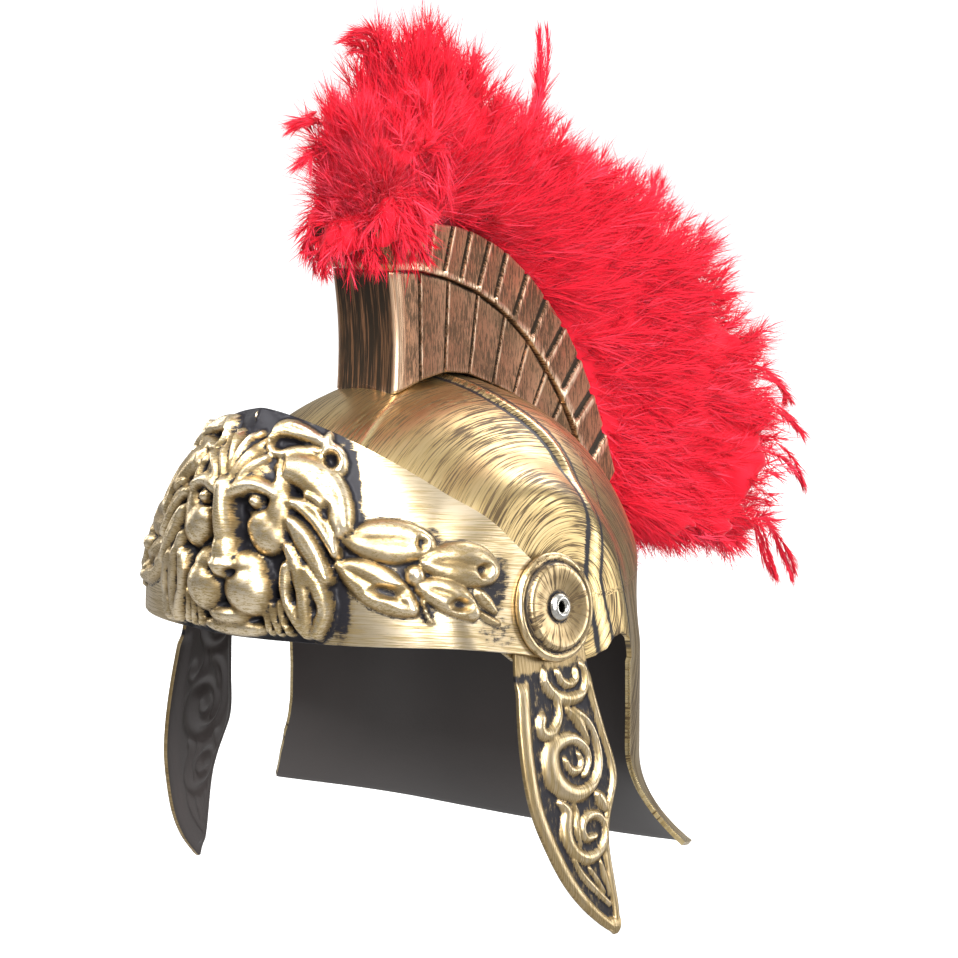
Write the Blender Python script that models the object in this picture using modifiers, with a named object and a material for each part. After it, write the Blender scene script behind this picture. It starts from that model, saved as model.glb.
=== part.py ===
"""Gladiator costume helmet: a moulded dome, a brow band with a lion mask, two cheek
guards hinged on rosettes, and a feather plume on a ribbed crest.

Shapes are worked out in millimetres from the middle of the line between the two cheek
guard rivets: X to the wearer's left, Y to the back, Z up. The helmet_frame empty carries
every part and puts the crown of the head at the world's origin.
"""
import math

import bmesh
import bpy
import numpy as np
from mathutils import Matrix, Vector

MM = 0.001
GAP = 0.3

# Where the head's crown meets the dome, from the rivet line.
SEAT_BACK = 32.0
SEAT_UP = 88.0

# Dome and neck guard.
SHELL_WALL = 2.2
SHELL_MIDDLE_Y = 32.0
DOME_TOP = 90.5
DOME_HALF_WIDTH = 96.0
DOME_WAIST_Z = -40.0
DOME_FRONT_REACH = 120.0
DOME_REAR_REACH = 118.0
DOME_EQUATOR_Z = -2.0
FRONT_FULLNESS = 2.3
REAR_FULLNESS = 1.82
FLARE_OUT = 19.0
FLARE_SIDE_SHARE = 1.4
FLARE_HEIGHT = 40.0
FLARE_REARWARD = (0.25, 0.85)
REAR_TUCK = 17.0
TUCK_TOP_Z = 12.0
TUCK_FOOT_Z = -25.0
NECK_TOP_Z = -32.0
NECK_WIDENING = 3.5
RIB_Y = 36.0
RIB_HALF_WIDTH = 4.0
RIB_RISE = 1.6
CROWN_SWEEP = (
    # z, degrees by which the ribs over the crown lie further back than straight up
    (-15.0, 0.0), (6.0, -1.1), (22.5, 1.6), (35.5, 4.3), (47.0, 7.3), (54.0, 9.3), (60.0, 10.6),
    (66.0, 10.8), (72.0, 9.4), (78.0, 6.6), (84.0, 3.9), (90.5, 0.0),
)
SWEEP_SHARE = (
    # degrees round the dome, share of the sweep
    (35.0, 0.0), (60.0, 0.45), (85.0, 0.95), (92.0, 1.0), (106.0, 1.3), (120.0, 1.25), (165.0, 0.0),
)
BAND_RISE = 0.8
BAND_END_Y = 56.0
BAND_EDGE = 1.5
FRONT_BAND_RISE = 0.9
FRONT_BAND_HALF = 13.0
FRONT_BAND_SPREAD = 0.21
FRONT_BAND_SPREAD_Y = 18.0
FRONT_BAND_FADE_Y = (20.0, 34.0)
RELIEF_FADE_Z = (-40.0, -20.0)

# Brow band.
BROW_WALL = 2.0
BROW_FOOT_HALF = 97.0
BROW_FOOT_FRONT = 94.0
BROW_FOOT_POWER = 2.4
BROW_TOP_HALF = 90.5
BROW_TOP_FRONT = 79.5
BROW_TOP_POWER = 1.55
BROW_BULGE = 2.2
BROW_FOOT_Z = -8.0
BROW_FOOT_SAG = 0.0017
BROW_FOOT_LOWEST = -19.5
BROW_TOP_Z = 87.0
BROW_TOP_FALL = 0.93
BROW_END_ANGLE = math.radians(96.0)
BROW_ROWS = 23
BROW_BACK_ROWS = 4
MASK_END = 50.0
MASK_COLUMNS = 16
FLOWER_END = 121.0
FLOWER_COLUMNS = 11

# Cheek guard pivots: the outer face of the rosette lies near PIVOT_X on the rivet line.
PIVOT_X = 96.0
PIVOT_TILT = math.radians(9.1)
PIVOT_TOE = math.radians(8.6)
BORE_RADIUS = 3.0
SHANK_RADIUS = 2.6
ROSETTE_RADIUS = 23.6
ROSETTE_BASE = -2.2
BROW_FACE = ROSETTE_BASE - GAP
GUARD_FACE = BROW_FACE - BROW_WALL - GAP
GUARD_WALL = 1.8
DOME_FACE = GUARD_FACE - GUARD_WALL - GAP
RIVET_TAIL = DOME_FACE - SHELL_WALL - GAP
FLAT_RADIUS = 44.0
FLAT_FADE = 72.0

# Crest.
HOLDER_HALF = 16.7
RAIL_HALF = 18.9
CREST_CROWN_CLEARANCE = 0.4
LINE_GAP = 0.3
GROOVE_WIDTH = 1.6
GROOVE_DEPTH = 1.2

# Plume.
PLUME_VOXEL = 7.0
PLUME_FACE_SHARE = 0.18

SHELL_EDGE = (
    # y, z of the dome's lower edge from the brow to the ear arch
    (-90.0, 8.0), (-70.0, 6.0), (-50.0, -2.0), (-33.0, -12.0), (-20.0, -22.0),
    (-8.0, -26.0), (10.0, -26.5), (28.0, -25.5), (36.0, -23.5), (42.0, -19.5),
    (48.5, -18.5), (55.5, -23.0), (59.0, -32.0), (64.0, -32.0),
)
NECK_SIDE = (
    # z, y of the ear arch's rear edge down to the corner of the neck guard
    (-32.0, 58.8), (-57.0, 59.5), (-78.0, 59.0), (-90.0, 60.5), (-100.0, 64.5),
    (-111.5, 71.0),
)
NECK_CORNER_Y = 71.0
NECK_CORNER_Z = -111.5
NECK_FALL = 0.37
NECK_FALL_START = 11.4
DOME_COLUMNS = (
    # degrees round from the brow; close together beside the raised rib
    0, 9, 18, 29, 41, 53, 62, 70, 77, 82, 86, 88.6, 90.6, 92.5, 94.6, 97.5, 101.3, 105.4,
    113, 123, 134, 146, 157, 168.5, 180,
)
NECK_FIRST_COLUMN = 17
DOME_ROWS = 10
DOME_ROW_SPREAD = 1.7
NECK_ROWS = 6


def empty_scene():
    for item in list(bpy.data.objects):
        bpy.data.objects.remove(item, do_unlink=True)


def collection(name):
    made = bpy.data.collections.new(name)
    bpy.context.scene.collection.children.link(made)
    return made


def material(name, colour, roughness, metallic):
    made = bpy.data.materials.new(name)
    made.use_nodes = True
    shader = made.node_tree.nodes["Principled BSDF"]
    shader.inputs["Base Color"].default_value = (*colour, 1.0)
    shader.inputs["Roughness"].default_value = roughness
    shader.inputs["Metallic"].default_value = metallic
    return made


def smoothstep(low, high, value):
    t = np.clip((value - low) / (high - low), 0.0, 1.0)
    return t * t * (3.0 - 2.0 * t)


def table_value(table, where):
    """Straight-line reading of a two-column table."""
    columns = np.array(table)
    return np.interp(where, columns[:, 0], columns[:, 1])


def unit(vector):
    vector = np.asarray(vector, dtype=float)
    return vector / np.linalg.norm(vector)


PIVOT = np.array([PIVOT_X, 0.0, 0.0])
PIVOT_AXIS = np.array([
    math.cos(PIVOT_TILT) * math.cos(PIVOT_TOE),
    -math.cos(PIVOT_TILT) * math.sin(PIVOT_TOE),
    math.sin(PIVOT_TILT),
])
PIVOT_BACK = unit(np.cross((0.0, 0.0, 1.0), PIVOT_AXIS))
PIVOT_DOWN = unit(np.cross(PIVOT_BACK, PIVOT_AXIS))


def from_pivot(point):
    """A point's offset along the left rivet's axis, and its distance from that axis."""
    away = np.array([abs(point[0]), point[1], point[2]]) - PIVOT
    offset = away @ PIVOT_AXIS
    return offset, np.linalg.norm(away - offset * PIVOT_AXIS)


def flatten_at_pivot(point, face):
    """Press a wall point onto the plane that lies `face` along the rivet's axis."""
    offset, distance = from_pivot(point)
    push = (face - offset) * (1.0 - smoothstep(FLAT_RADIUS, FLAT_FADE, distance)) * PIVOT_AXIS
    side = -1.0 if point[0] < 0.0 else 1.0
    return point + push * (side, 1.0, 1.0)


# --- bodies from rows of points -------------------------------------------------------

def add_rows(bm, rows):
    """Vertices for rows of points; each row keeps its own list."""
    return [[bm.verts.new(Vector(point) * MM) for point in row] for row in rows]


def bridge(bm, first, second, closed=False):
    """Faces between two rows of vertices; a row of one vertex is a pole."""
    count = max(len(first), len(second))
    steps = count if closed else count - 1
    for i in range(steps):
        j = (i + 1) % count
        ring = [first[i % len(first)], first[j % len(first)],
                second[j % len(second)], second[i % len(second)]]
        face = list(dict.fromkeys(ring))
        bm.faces.new(face)


def mesh_object(name, bm, finish, home, smooth_angle=35.0):
    bmesh.ops.recalc_face_normals(bm, faces=bm.faces)
    closed = all(edge.is_manifold for edge in bm.edges)
    if closed and bm.calc_volume(signed=True) < 0.0:
        bmesh.ops.reverse_faces(bm, faces=bm.faces)
    mesh = bpy.data.meshes.new(name)
    bm.to_mesh(mesh)
    bm.free()
    mesh.materials.append(finish)
    mesh.shade_smooth()
    mesh.set_sharp_from_angle(angle=math.radians(smooth_angle))
    item = bpy.data.objects.new(name, mesh)
    home.objects.link(item)
    return item


def plate_mesh(outer, inner):
    """One closed plate from an outer and an inner grid with equal columns.

    Its ends are one face each where the inner grid has fewer rows.
    """
    bm = bmesh.new()
    front = add_rows(bm, outer)
    back = add_rows(bm, inner)
    for grid in (front, back):
        for first, second in zip(grid, grid[1:]):
            bridge(bm, first, second)
    bridge(bm, front[0], back[0])
    bridge(bm, front[-1], back[-1])
    for end in (0, -1):
        front_end = [row[end] for row in front]
        back_end = [row[end] for row in back]
        if len(front_end) == len(back_end):
            bridge(bm, front_end, back_end)
        else:
            bm.faces.new(front_end + back_end[::-1])
    return bm


def loft_mesh(sections):
    """One closed body through loops with equal numbers of points."""
    bm = bmesh.new()
    loops = add_rows(bm, sections)
    for first, second in zip(loops, loops[1:]):
        bridge(bm, first, second, closed=True)
    bm.faces.new(loops[0])
    bm.faces.new(loops[-1])
    return bm


def turned_object(name, profile, steps, finish, home, closed):
    """A profile of (radius, height) points turned about its own Z axis."""
    mesh = bpy.data.meshes.new(name)
    points = [(radius * MM, 0.0, height * MM) for radius, height in profile]
    edges = [(i, i + 1) for i in range(len(points) - 1)]
    if closed:
        edges.append((len(points) - 1, 0))
    mesh.from_pydata(points, edges, [])
    mesh.materials.append(finish)
    item = bpy.data.objects.new(name, mesh)
    home.objects.link(item)
    screw = item.modifiers.new("turn", "SCREW")
    screw.steps = steps
    screw.render_steps = steps
    screw.use_merge_vertices = True
    screw.merge_threshold = 0.00005
    screw.use_normal_calculate = closed
    return item


def cut(item, cutter):
    boolean = item.modifiers.new(cutter.name, "BOOLEAN")
    boolean.operation = "DIFFERENCE"
    boolean.object = cutter


# --- dome and neck guard --------------------------------------------------------------

def dome_half_width(z):
    rise = np.clip((z - DOME_WAIST_Z) / (DOME_TOP - DOME_WAIST_Z), 0.0, 1.0)
    return (DOME_HALF_WIDTH * math.sqrt(1.0 - rise ** 2)
            + NECK_WIDENING * smoothstep(0.0, NECK_TOP_Z, z))


def dome_reach(z, front):
    """How far the dome reaches from its middle, to the front or to the back."""
    rise = np.clip((z - DOME_EQUATOR_Z) / (DOME_TOP - DOME_EQUATOR_Z), 0.0, 1.0)
    if front:
        return DOME_FRONT_REACH * (1.0 - rise ** FRONT_FULLNESS) ** (1.0 / FRONT_FULLNESS)
    reach = DOME_REAR_REACH * (1.0 - rise ** REAR_FULLNESS) ** (1.0 / REAR_FULLNESS)
    return reach - REAR_TUCK * smoothstep(TUCK_TOP_Z, TUCK_FOOT_Z, z)


def dome_plan(angle, z):
    """The smooth dome's outer surface at an angle round from the brow."""
    forward = math.cos(angle)
    reach = dome_reach(z, forward > 0.0)
    return np.array([dome_half_width(z) * math.sin(angle), SHELL_MIDDLE_Y - reach * forward, z])


def dome_height(x, y):
    """Height of the smooth dome above a plan point."""
    low, high = DOME_EQUATOR_Z, DOME_TOP
    for _ in range(40):
        z = 0.5 * (low + high)
        reach = dome_reach(z, y < SHELL_MIDDLE_Y)
        inside = (x / dome_half_width(z)) ** 2 + ((y - SHELL_MIDDLE_Y) / reach) ** 2 < 1.0
        low, high = (z, high) if inside else (low, z)
    return low


def dome_relief(point):
    """Raised ribs: one over the crown from ear to ear, and a band along the brow."""
    x, y, z = point
    rib = max(0.0, 1.0 - ((y - RIB_Y) / RIB_HALF_WIDTH) ** 2) * RIB_RISE
    behind = smoothstep(RIB_Y, RIB_Y + BAND_EDGE, y)
    behind *= 1.0 - smoothstep(BAND_END_Y - BAND_EDGE, BAND_END_Y, y)
    band_half = FRONT_BAND_HALF + FRONT_BAND_SPREAD * max(0.0, FRONT_BAND_SPREAD_Y - y)
    front = 1.0 - smoothstep(band_half - BAND_EDGE, band_half + BAND_EDGE, abs(x))
    front *= 1.0 - smoothstep(*FRONT_BAND_FADE_Y, y)
    return max(rib, BAND_RISE * behind, FRONT_BAND_RISE * front)


def crown_sweep(angle, z):
    """How far a column of the dome leans back, so that the ribs on it bow to the rear."""
    return math.radians(table_value(CROWN_SWEEP, z) * table_value(SWEEP_SHARE, math.degrees(angle)))


def dome_point(angle, z):
    point = dome_plan(angle + crown_sweep(angle, z), z)
    outward = unit((point[0] / DOME_HALF_WIDTH, (point[1] - SHELL_MIDDLE_Y) / DOME_REAR_REACH,
                    max(0.0, z - DOME_EQUATOR_Z) / DOME_TOP))
    raised = point + outward * dome_relief(dome_plan(angle, z)) * smoothstep(*RELIEF_FADE_Z, z)
    return flatten_at_pivot(raised, DOME_FACE)


def shell_edge_z(angle):
    """Lower edge of the dome part for a column; level behind the ear arch."""
    y = SHELL_MIDDLE_Y - DOME_FRONT_REACH * max(0.0, math.cos(angle))
    y -= (DOME_REAR_REACH - REAR_TUCK) * min(0.0, math.cos(angle))
    return float(table_value(SHELL_EDGE, y))


def neck_point(column_share, depth_share):
    """Neck guard point: across from the ear arch to the back, down to the flared edge."""
    side_z = NECK_TOP_Z + (NECK_CORNER_Z - NECK_TOP_Z) * depth_share
    side_y = table_value(sorted(NECK_SIDE), side_z)
    first = math.acos((SHELL_MIDDLE_Y - side_y) / (DOME_REAR_REACH - REAR_TUCK))
    angle = first + (math.pi - first) * column_share
    base = dome_plan(angle, NECK_TOP_Z)
    rear_low = NECK_CORNER_Z - NECK_FALL * max(0.0, base[1] + NECK_FALL_START - NECK_CORNER_Y)
    z = NECK_TOP_Z + (rear_low - NECK_TOP_Z) * depth_share
    flare = FLARE_OUT * max(0.0, 1.0 - (z - rear_low) / FLARE_HEIGHT) ** 2
    rearward = max(0.0, -math.cos(angle))
    x = base[0] + flare * FLARE_SIDE_SHARE * math.sin(angle)
    y = base[1] + flare * smoothstep(*FLARE_REARWARD, rearward)
    return np.array([x, y, z])


def make_dome_shell(finish, home):
    bm = bmesh.new()
    angles = [math.radians(degrees) for degrees in DOME_COLUMNS]
    rows = [[np.array([0.0, SHELL_MIDDLE_Y, DOME_TOP + FRONT_BAND_RISE])]]
    for i in range(1, DOME_ROWS + 1):
        share = (i / DOME_ROWS) ** DOME_ROW_SPREAD
        rows.append([dome_point(a, DOME_TOP + (shell_edge_z(a) - DOME_TOP) * share) for a in angles])
    dome = add_rows(bm, rows)
    for first, second in zip(dome, dome[1:]):
        bridge(bm, first, second)
    shares = [(a - angles[NECK_FIRST_COLUMN]) / (math.pi - angles[NECK_FIRST_COLUMN])
              for a in angles[NECK_FIRST_COLUMN:]]
    above = dome[-1][NECK_FIRST_COLUMN:]
    for i in range(1, NECK_ROWS + 1):
        below = add_rows(bm, [[neck_point(share, i / NECK_ROWS) for share in shares]])[0]
        bridge(bm, above, below)
        above = below
    for vertex in bm.verts:
        if abs(vertex.co.x) < 0.02 * MM:
            vertex.co.x = 0.0
    shell = mesh_object("dome_shell", bm, finish, home)
    mirror = shell.modifiers.new("other half", "MIRROR")
    mirror.use_clip = True
    mirror.merge_threshold = 0.00005
    wall = shell.modifiers.new("wall", "SOLIDIFY")
    wall.thickness = SHELL_WALL * MM
    wall.offset = -1.0
    wall.use_even_offset = True
    return shell


# --- cast relief ----------------------------------------------------------------------
# Relief is a height over the plain wall. On the brow band s runs round from the middle
# of the brow and t up from the foot, the same on both sides. All are millimetres.

LION_GROUND = (
    # s, t, half width, half height, rise: the broad form that the rest stands on
    ("mask", 0.0, 45.0, 46.0, 53.0, 7.0),
    ("forehead", 0.0, 64.0, 24.0, 22.0, 4.5),
)
LION_MOUNDS = (
    # s, t, half width, half height, rise over the ground
    ("muzzle", 9.0, 22.0, 10.5, 12.5, 13.0),
    ("upper muzzle", 7.5, 31.5, 6.5, 8.0, 9.5),
    ("lower lip", 0.0, 11.5, 10.0, 5.0, 10.5),
    ("chin", 0.0, 6.0, 13.0, 5.0, 7.5),
    ("nose pad", 0.0, 30.5, 8.0, 6.0, 15.0),
    ("cheek", 19.5, 45.5, 8.8, 8.5, 8.5),
    ("ear", 43.0, 77.0, 7.5, 8.5, 7.0),
)
LION_LOCKS = (
    # s, t of start, bend and end; half width at each; rise over the ground
    ("bridge of the nose", 0.0, 63.0, 0.0, 46.0, 0.0, 30.0, 4.2, 4.8, 6.5, 12.0),
    ("temple", 21.0, 70.0, 24.5, 57.0, 20.0, 45.0, 4.0, 5.0, 7.0, 7.0),
    ("brow", 3.0, 60.5, 11.0, 67.0, 21.5, 61.0, 2.6, 4.4, 3.2, 9.0),
    ("lower lid", 8.5, 55.5, 12.5, 51.5, 18.5, 56.0, 1.2, 1.6, 1.4, 4.5),
    ("inner furrow", 2.2, 64.0, 2.6, 71.0, 5.0, 79.0, 1.4, 2.0, 1.5, 6.0),
    ("outer furrow", 5.5, 66.0, 7.5, 73.0, 13.5, 80.0, 1.8, 2.6, 2.0, 6.5),
    ("brow top", 10.5, 68.5, 15.0, 72.0, 19.5, 77.0, 3.0, 4.0, 2.8, 5.5),
    ("forelock", 1.5, 80.0, 3.0, 87.0, 12.0, 90.0, 2.0, 3.0, 2.0, 5.0),
    ("top lock", 13.5, 82.5, 20.0, 92.5, 38.0, 84.0, 2.4, 3.8, 3.0, 6.5),
    ("tuft", 18.5, 76.0, 25.0, 80.0, 33.0, 77.5, 2.4, 3.2, 2.2, 6.5),
    ("ear tip", 41.0, 80.0, 41.5, 84.0, 43.5, 88.0, 3.6, 2.8, 1.2, 6.5),
    ("upper lobe", 24.0, 72.5, 42.0, 72.0, 47.5, 51.0, 5.0, 9.0, 4.6, 9.0),
    ("side lobe", 28.0, 59.5, 39.0, 58.0, 44.5, 40.5, 2.4, 4.0, 2.8, 8.0),
    ("jaw lobe", 26.5, 52.0, 34.5, 47.0, 40.5, 30.0, 3.0, 4.6, 3.0, 8.0),
    ("inner lobe", 27.0, 43.0, 27.5, 36.0, 34.0, 28.0, 2.6, 3.0, 2.4, 6.5),
    ("beard lobe front", 25.0, 33.0, 21.5, 19.0, 31.5, 5.5, 2.4, 3.2, 2.8, 7.0),
    ("beard lobe middle", 29.5, 33.0, 31.5, 22.0, 31.5, 8.0, 2.2, 2.8, 2.4, 7.5),
    ("beard lobe rear", 33.5, 33.0, 43.5, 19.0, 35.0, 6.0, 2.6, 3.6, 3.0, 8.0),
    ("beard", 18.0, 17.0, 18.0, 10.0, 22.0, 4.0, 1.8, 2.4, 1.8, 5.5),
    ("beard point", 13.5, 11.0, 14.0, 7.0, 17.0, 3.5, 1.8, 2.2, 1.6, 4.5),
)
LION_HOLLOWS = (
    # s, t, half width, half height, depth
    ("eye socket", 11.5, 56.5, 7.5, 5.5, 4.5),
    ("nostril", 4.0, 28.5, 2.4, 2.2, 4.0),
    ("tuft hollow", 19.5, 81.3, 3.4, 3.0, 4.5),
    ("ear hollow", 43.6, 76.0, 3.4, 3.8, 6.5),
    ("lobe hollow", 41.0, 55.0, 2.4, 4.5, 3.0),
    ("jaw hollow", 21.0, 30.0, 3.6, 8.5, 4.0),
)
LION_EYE = (14.0, 58.0, 3.7, 3.6, 6.5)
FLOWER_LOCKS = (
    # s, t of start, bend and end; half width at each; rise
    ("long upper leaf", 47.5, 45.5, 65.0, 45.5, 82.5, 44.0, 3.6, 9.4, 4.0, 4.2),
    ("long lower leaf", 44.0, 33.5, 60.0, 25.0, 76.0, 17.5, 2.0, 9.6, 3.0, 4.2),
    ("short upper leaf", 80.0, 36.0, 96.0, 38.5, 113.5, 34.5, 1.6, 9.0, 4.8, 3.6),
    ("short lower leaf", 79.0, 26.5, 92.0, 25.0, 105.0, 16.0, 2.6, 7.2, 3.6, 3.6),
    ("small leaf", 108.0, 25.5, 113.0, 23.0, 118.0, 18.5, 2.0, 3.0, 1.4, 2.4),
)
FLOWER_HOLLOWS = (
    ("rolled tip", 79.3, 45.5, 2.4, 3.0, 2.4),
    ("lower leaf hollow", 67.0, 21.6, 7.5, 2.4, 2.4),
    ("upper leaf hollow", 109.5, 34.4, 3.0, 2.8, 2.6),
    ("short leaf hollow", 99.0, 18.2, 4.2, 2.4, 2.4),
)
FLOWER_BEAD = (76.9, 31.0, 4.9, 4.9, 5.0)
BROW_STUD = (0.0, 93.0, 2.4, 2.4, 1.6)
LOCK_STEPS = 14


def mound(s, t, at_s, at_t, half_s, half_t, rise, edge=0.5):
    inside = 1.0 - ((s - at_s) / half_s) ** 2 - ((t - at_t) / half_t) ** 2
    return rise * np.maximum(inside, 0.0) ** edge


def lock(s, t, start, bend, end, half_widths, rise):
    """A raised lock along a bent line, rounded across, its width set at three places."""
    shares = np.linspace(0.0, 1.0, LOCK_STEPS)[:, None]
    line = ((1.0 - shares) ** 2 * np.array(start) + 2.0 * shares * (1.0 - shares) * np.array(bend)
            + shares ** 2 * np.array(end))
    u = shares[:, 0]
    halves = (half_widths[0] * (1.0 - u) * (1.0 - 2.0 * u) + half_widths[1] * 4.0 * u * (1.0 - u)
              + half_widths[2] * u * (2.0 * u - 1.0))
    height = np.zeros_like(s)
    for i in range(LOCK_STEPS - 1):
        step = line[i + 1] - line[i]
        along = np.clip(((s - line[i][0]) * step[0] + (t - line[i][1]) * step[1]) / (step @ step),
                        0.0, 1.0)
        away = np.hypot(s - line[i][0] - along * step[0], t - line[i][1] - along * step[1])
        half = halves[i] + along * (halves[i + 1] - halves[i])
        lift = np.sqrt(np.maximum(1.0 - (away / half) ** 2, 0.0))
        height = np.maximum(height, rise * lift)
    return height


def highest(height, s, t, mounds, locks):
    for name, *place in mounds:
        height = np.maximum(height, mound(s, t, *place))
    for name, s0, t0, s1, t1, s2, t2, first, middle, last, rise in locks:
        shape = lock(s, t, (s0, t0), (s1, t1), (s2, t2), (first, middle, last), rise)
        height = np.maximum(height, shape)
    return height


def hollowed(height, s, t, hollows):
    for name, *place in hollows:
        height = height - mound(s, t, *place, 1.0)
    return height


def brow_relief(s, t):
    """Lion mask in the middle and a flower on each side, for arrays of places."""
    side = np.abs(s)
    ground = sum(mound(side, t, *place, 0.8) for name, *place in LION_GROUND)
    height = highest(np.zeros_like(side), side, t, LION_MOUNDS, LION_LOCKS)
    height = hollowed(height, side, t, LION_HOLLOWS)
    height = np.maximum(height, mound(side, t, *LION_EYE))
    flower = highest(np.zeros_like(side), side, t, (), FLOWER_LOCKS)
    flower = hollowed(flower, side, t, FLOWER_HOLLOWS)
    for bead in (FLOWER_BEAD, BROW_STUD):
        flower = np.maximum(flower, mound(side, t, *bead))
    return np.maximum(ground + np.maximum(height, flower), 0.0)


# --- brow band ------------------------------------------------------------------------

def signed_power(value, power):
    return math.copysign(abs(value) ** power, value)


def brow_wall(angle, share):
    """Plain outer face of the brow band: round from the brow, up from its foot."""
    s, c = math.sin(angle), math.cos(angle)
    foot = np.array([BROW_FOOT_HALF * signed_power(s, 2.0 / BROW_FOOT_POWER),
                     -BROW_FOOT_FRONT * signed_power(c, 2.0 / BROW_FOOT_POWER)])
    top = np.array([BROW_TOP_HALF * signed_power(s, 2.0 / BROW_TOP_POWER),
                    -BROW_TOP_FRONT * signed_power(c, 2.0 / BROW_TOP_POWER)])
    foot_z = max(BROW_FOOT_Z - BROW_FOOT_SAG * (foot[1] + BROW_FOOT_FRONT) ** 2,
                 BROW_FOOT_LOWEST)
    top_z = BROW_TOP_Z - BROW_TOP_FALL * (top[1] + BROW_TOP_FRONT)
    plan = foot + (top - foot) * share ** BROW_BULGE
    point = np.array([plan[0], plan[1], foot_z + (top_z - foot_z) * share])
    return flatten_at_pivot(point, BROW_FACE)


def brow_normal(angle, share):
    step = 0.01
    low, high = max(share - step, 0.0), min(share + step, 1.0)
    around = brow_wall(angle + step, share) - brow_wall(angle - step, share)
    upward = brow_wall(angle, high) - brow_wall(angle, low)
    return unit(np.cross(around, upward))


def brow_columns():
    """Angles of the columns with their distance round from the middle of the brow."""
    fine = np.linspace(0.0, BROW_END_ANGLE, 400)
    middle = np.array([brow_wall(a, 0.5) for a in fine])
    steps = np.linalg.norm(np.diff(middle, axis=0), axis=1)
    reach = np.concatenate([[0.0], np.cumsum(steps)])
    stops = np.concatenate([np.linspace(0.0, MASK_END, MASK_COLUMNS),
                            np.linspace(MASK_END, FLOWER_END, FLOWER_COLUMNS)[1:],
                            np.linspace(FLOWER_END, reach[-1], 3)[1:]])
    half = [(float(np.interp(stop, reach, fine)), float(stop)) for stop in stops]
    return [(-angle, -stop) for angle, stop in reversed(half[1:])] + half


def make_brow_band(finish, home):
    columns = brow_columns()
    shares = np.linspace(0.0, 1.0, BROW_ROWS)
    heights = [np.linalg.norm(brow_wall(a, 1.0) - brow_wall(a, 0.0)) for a, s in columns]
    around = np.array([[s for a, s in columns]] * BROW_ROWS)
    rises = brow_relief(around, shares[:, None] * np.array(heights))
    outer = [[brow_wall(a, share) + brow_normal(a, share) * rise
              for (a, s), rise in zip(columns, row)] for share, row in zip(shares, rises)]
    inner = [[brow_wall(a, share) - brow_normal(a, share) * BROW_WALL for a, s in columns]
             for share in np.linspace(0.0, 1.0, BROW_BACK_ROWS)]
    return mesh_object("brow_band", plate_mesh(outer, inner), finish, home, 50.0)


# --- cheek guards ---------------------------------------------------------------------

GUARD_OUTLINE = (
    # down, front edge, rear edge, all from the rivet
    (-19.0, -6.0, 6.0), (-15.0, -13.0, 13.0), (-8.0, -18.5, 18.5), (0.0, -21.5, 20.5),
    (9.0, -22.4, 19.7), (19.0, -23.9, 19.5), (29.0, -25.0, 20.2), (38.0, -26.1, 21.2),
    (48.0, -27.1, 23.4), (58.0, -27.6, 25.8), (67.0, -27.5, 28.4), (74.0, -27.0, 29.8),
    (80.0, -26.2, 29.4), (87.0, -24.6, 26.2), (94.0, -22.2, 22.8), (102.0, -18.8, 20.5),
    (110.0, -15.0, 20.0), (118.0, -10.4, 20.5), (126.0, -4.4, 21.1), (133.0, 2.2, 21.5),
    (139.0, 9.2, 21.2), (143.0, 14.6, 20.2), (145.0, 17.2, 18.8),
)
GUARD_RIM = 3.4
GUARD_RIM_RISE = 2.0
GUARD_RIM_FADE = (28.0, 34.0)
GUARD_SHARES = (0.0, 0.05, 0.12, 0.35, 0.65, 0.88, 0.95, 1.0)
SCROLLS = (
    # centre back, down, outer radius, turns, start angle, hand, half width, rise
    ("top scroll", 0.5, 35.5, 8.0, 1.1, 200.0, 1, 2.0, 2.2),
    ("hooked scroll", -13.5, 47.5, 5.5, 0.9, 250.0, 1, 1.8, 2.0),
    ("great scroll", -1.0, 69.0, 14.5, 1.6, 290.0, 1, 2.6, 2.6),
    ("low scroll", 4.5, 98.0, 11.5, 1.4, 280.0, 1, 2.3, 2.4),
)
SCROLL_SECTION = (
    # share across, then the share of the rise above the guard's face; below it in millimetres
    (-1.0, -0.8), (-0.75, 0.55), (0.0, 1.0), (0.75, 0.55), (1.0, -0.8),
)
SCROLL_STEPS_A_TURN = 7
SCROLL_WINDING = 0.86
SCROLL_TAPER = 0.35


def guard_place(back, down, offset, side):
    """Place of a guard point: back, down and out from the rivet, in the guard's own plane."""
    point = PIVOT + back * PIVOT_BACK + down * PIVOT_DOWN + offset * PIVOT_AXIS
    return np.array([side * point[0], point[1], point[2]])


def guard_rim(share, width, down):
    """Raised rim along both edges, fading out under the rosette."""
    from_edge = min(share, 1.0 - share) * width
    rim = GUARD_RIM_RISE * max(0.0, 1.0 - (from_edge / GUARD_RIM) ** 2)
    return rim * float(smoothstep(*GUARD_RIM_FADE, down))


def make_cheek_guard(name, side, finish, home):
    outer, inner = [], []
    for down, front, rear in GUARD_OUTLINE:
        width = rear - front
        columns = [front + share * width for share in GUARD_SHARES]
        rises = [guard_rim(share, width, down) for share in GUARD_SHARES]
        outer.append([guard_place(back, down, GUARD_FACE + rise, side)
                      for back, rise in zip(columns, rises)])
        inner.append([guard_place(back, down, GUARD_FACE - GUARD_WALL, side) for back in columns])
    plate = mesh_object(name, plate_mesh(outer, inner), finish, home)
    for scroll in SCROLLS:
        union = plate.modifiers.new(scroll[0], "BOOLEAN")
        union.operation = "UNION"
        union.object = make_scroll(name, side, *scroll)
    return plate


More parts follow.
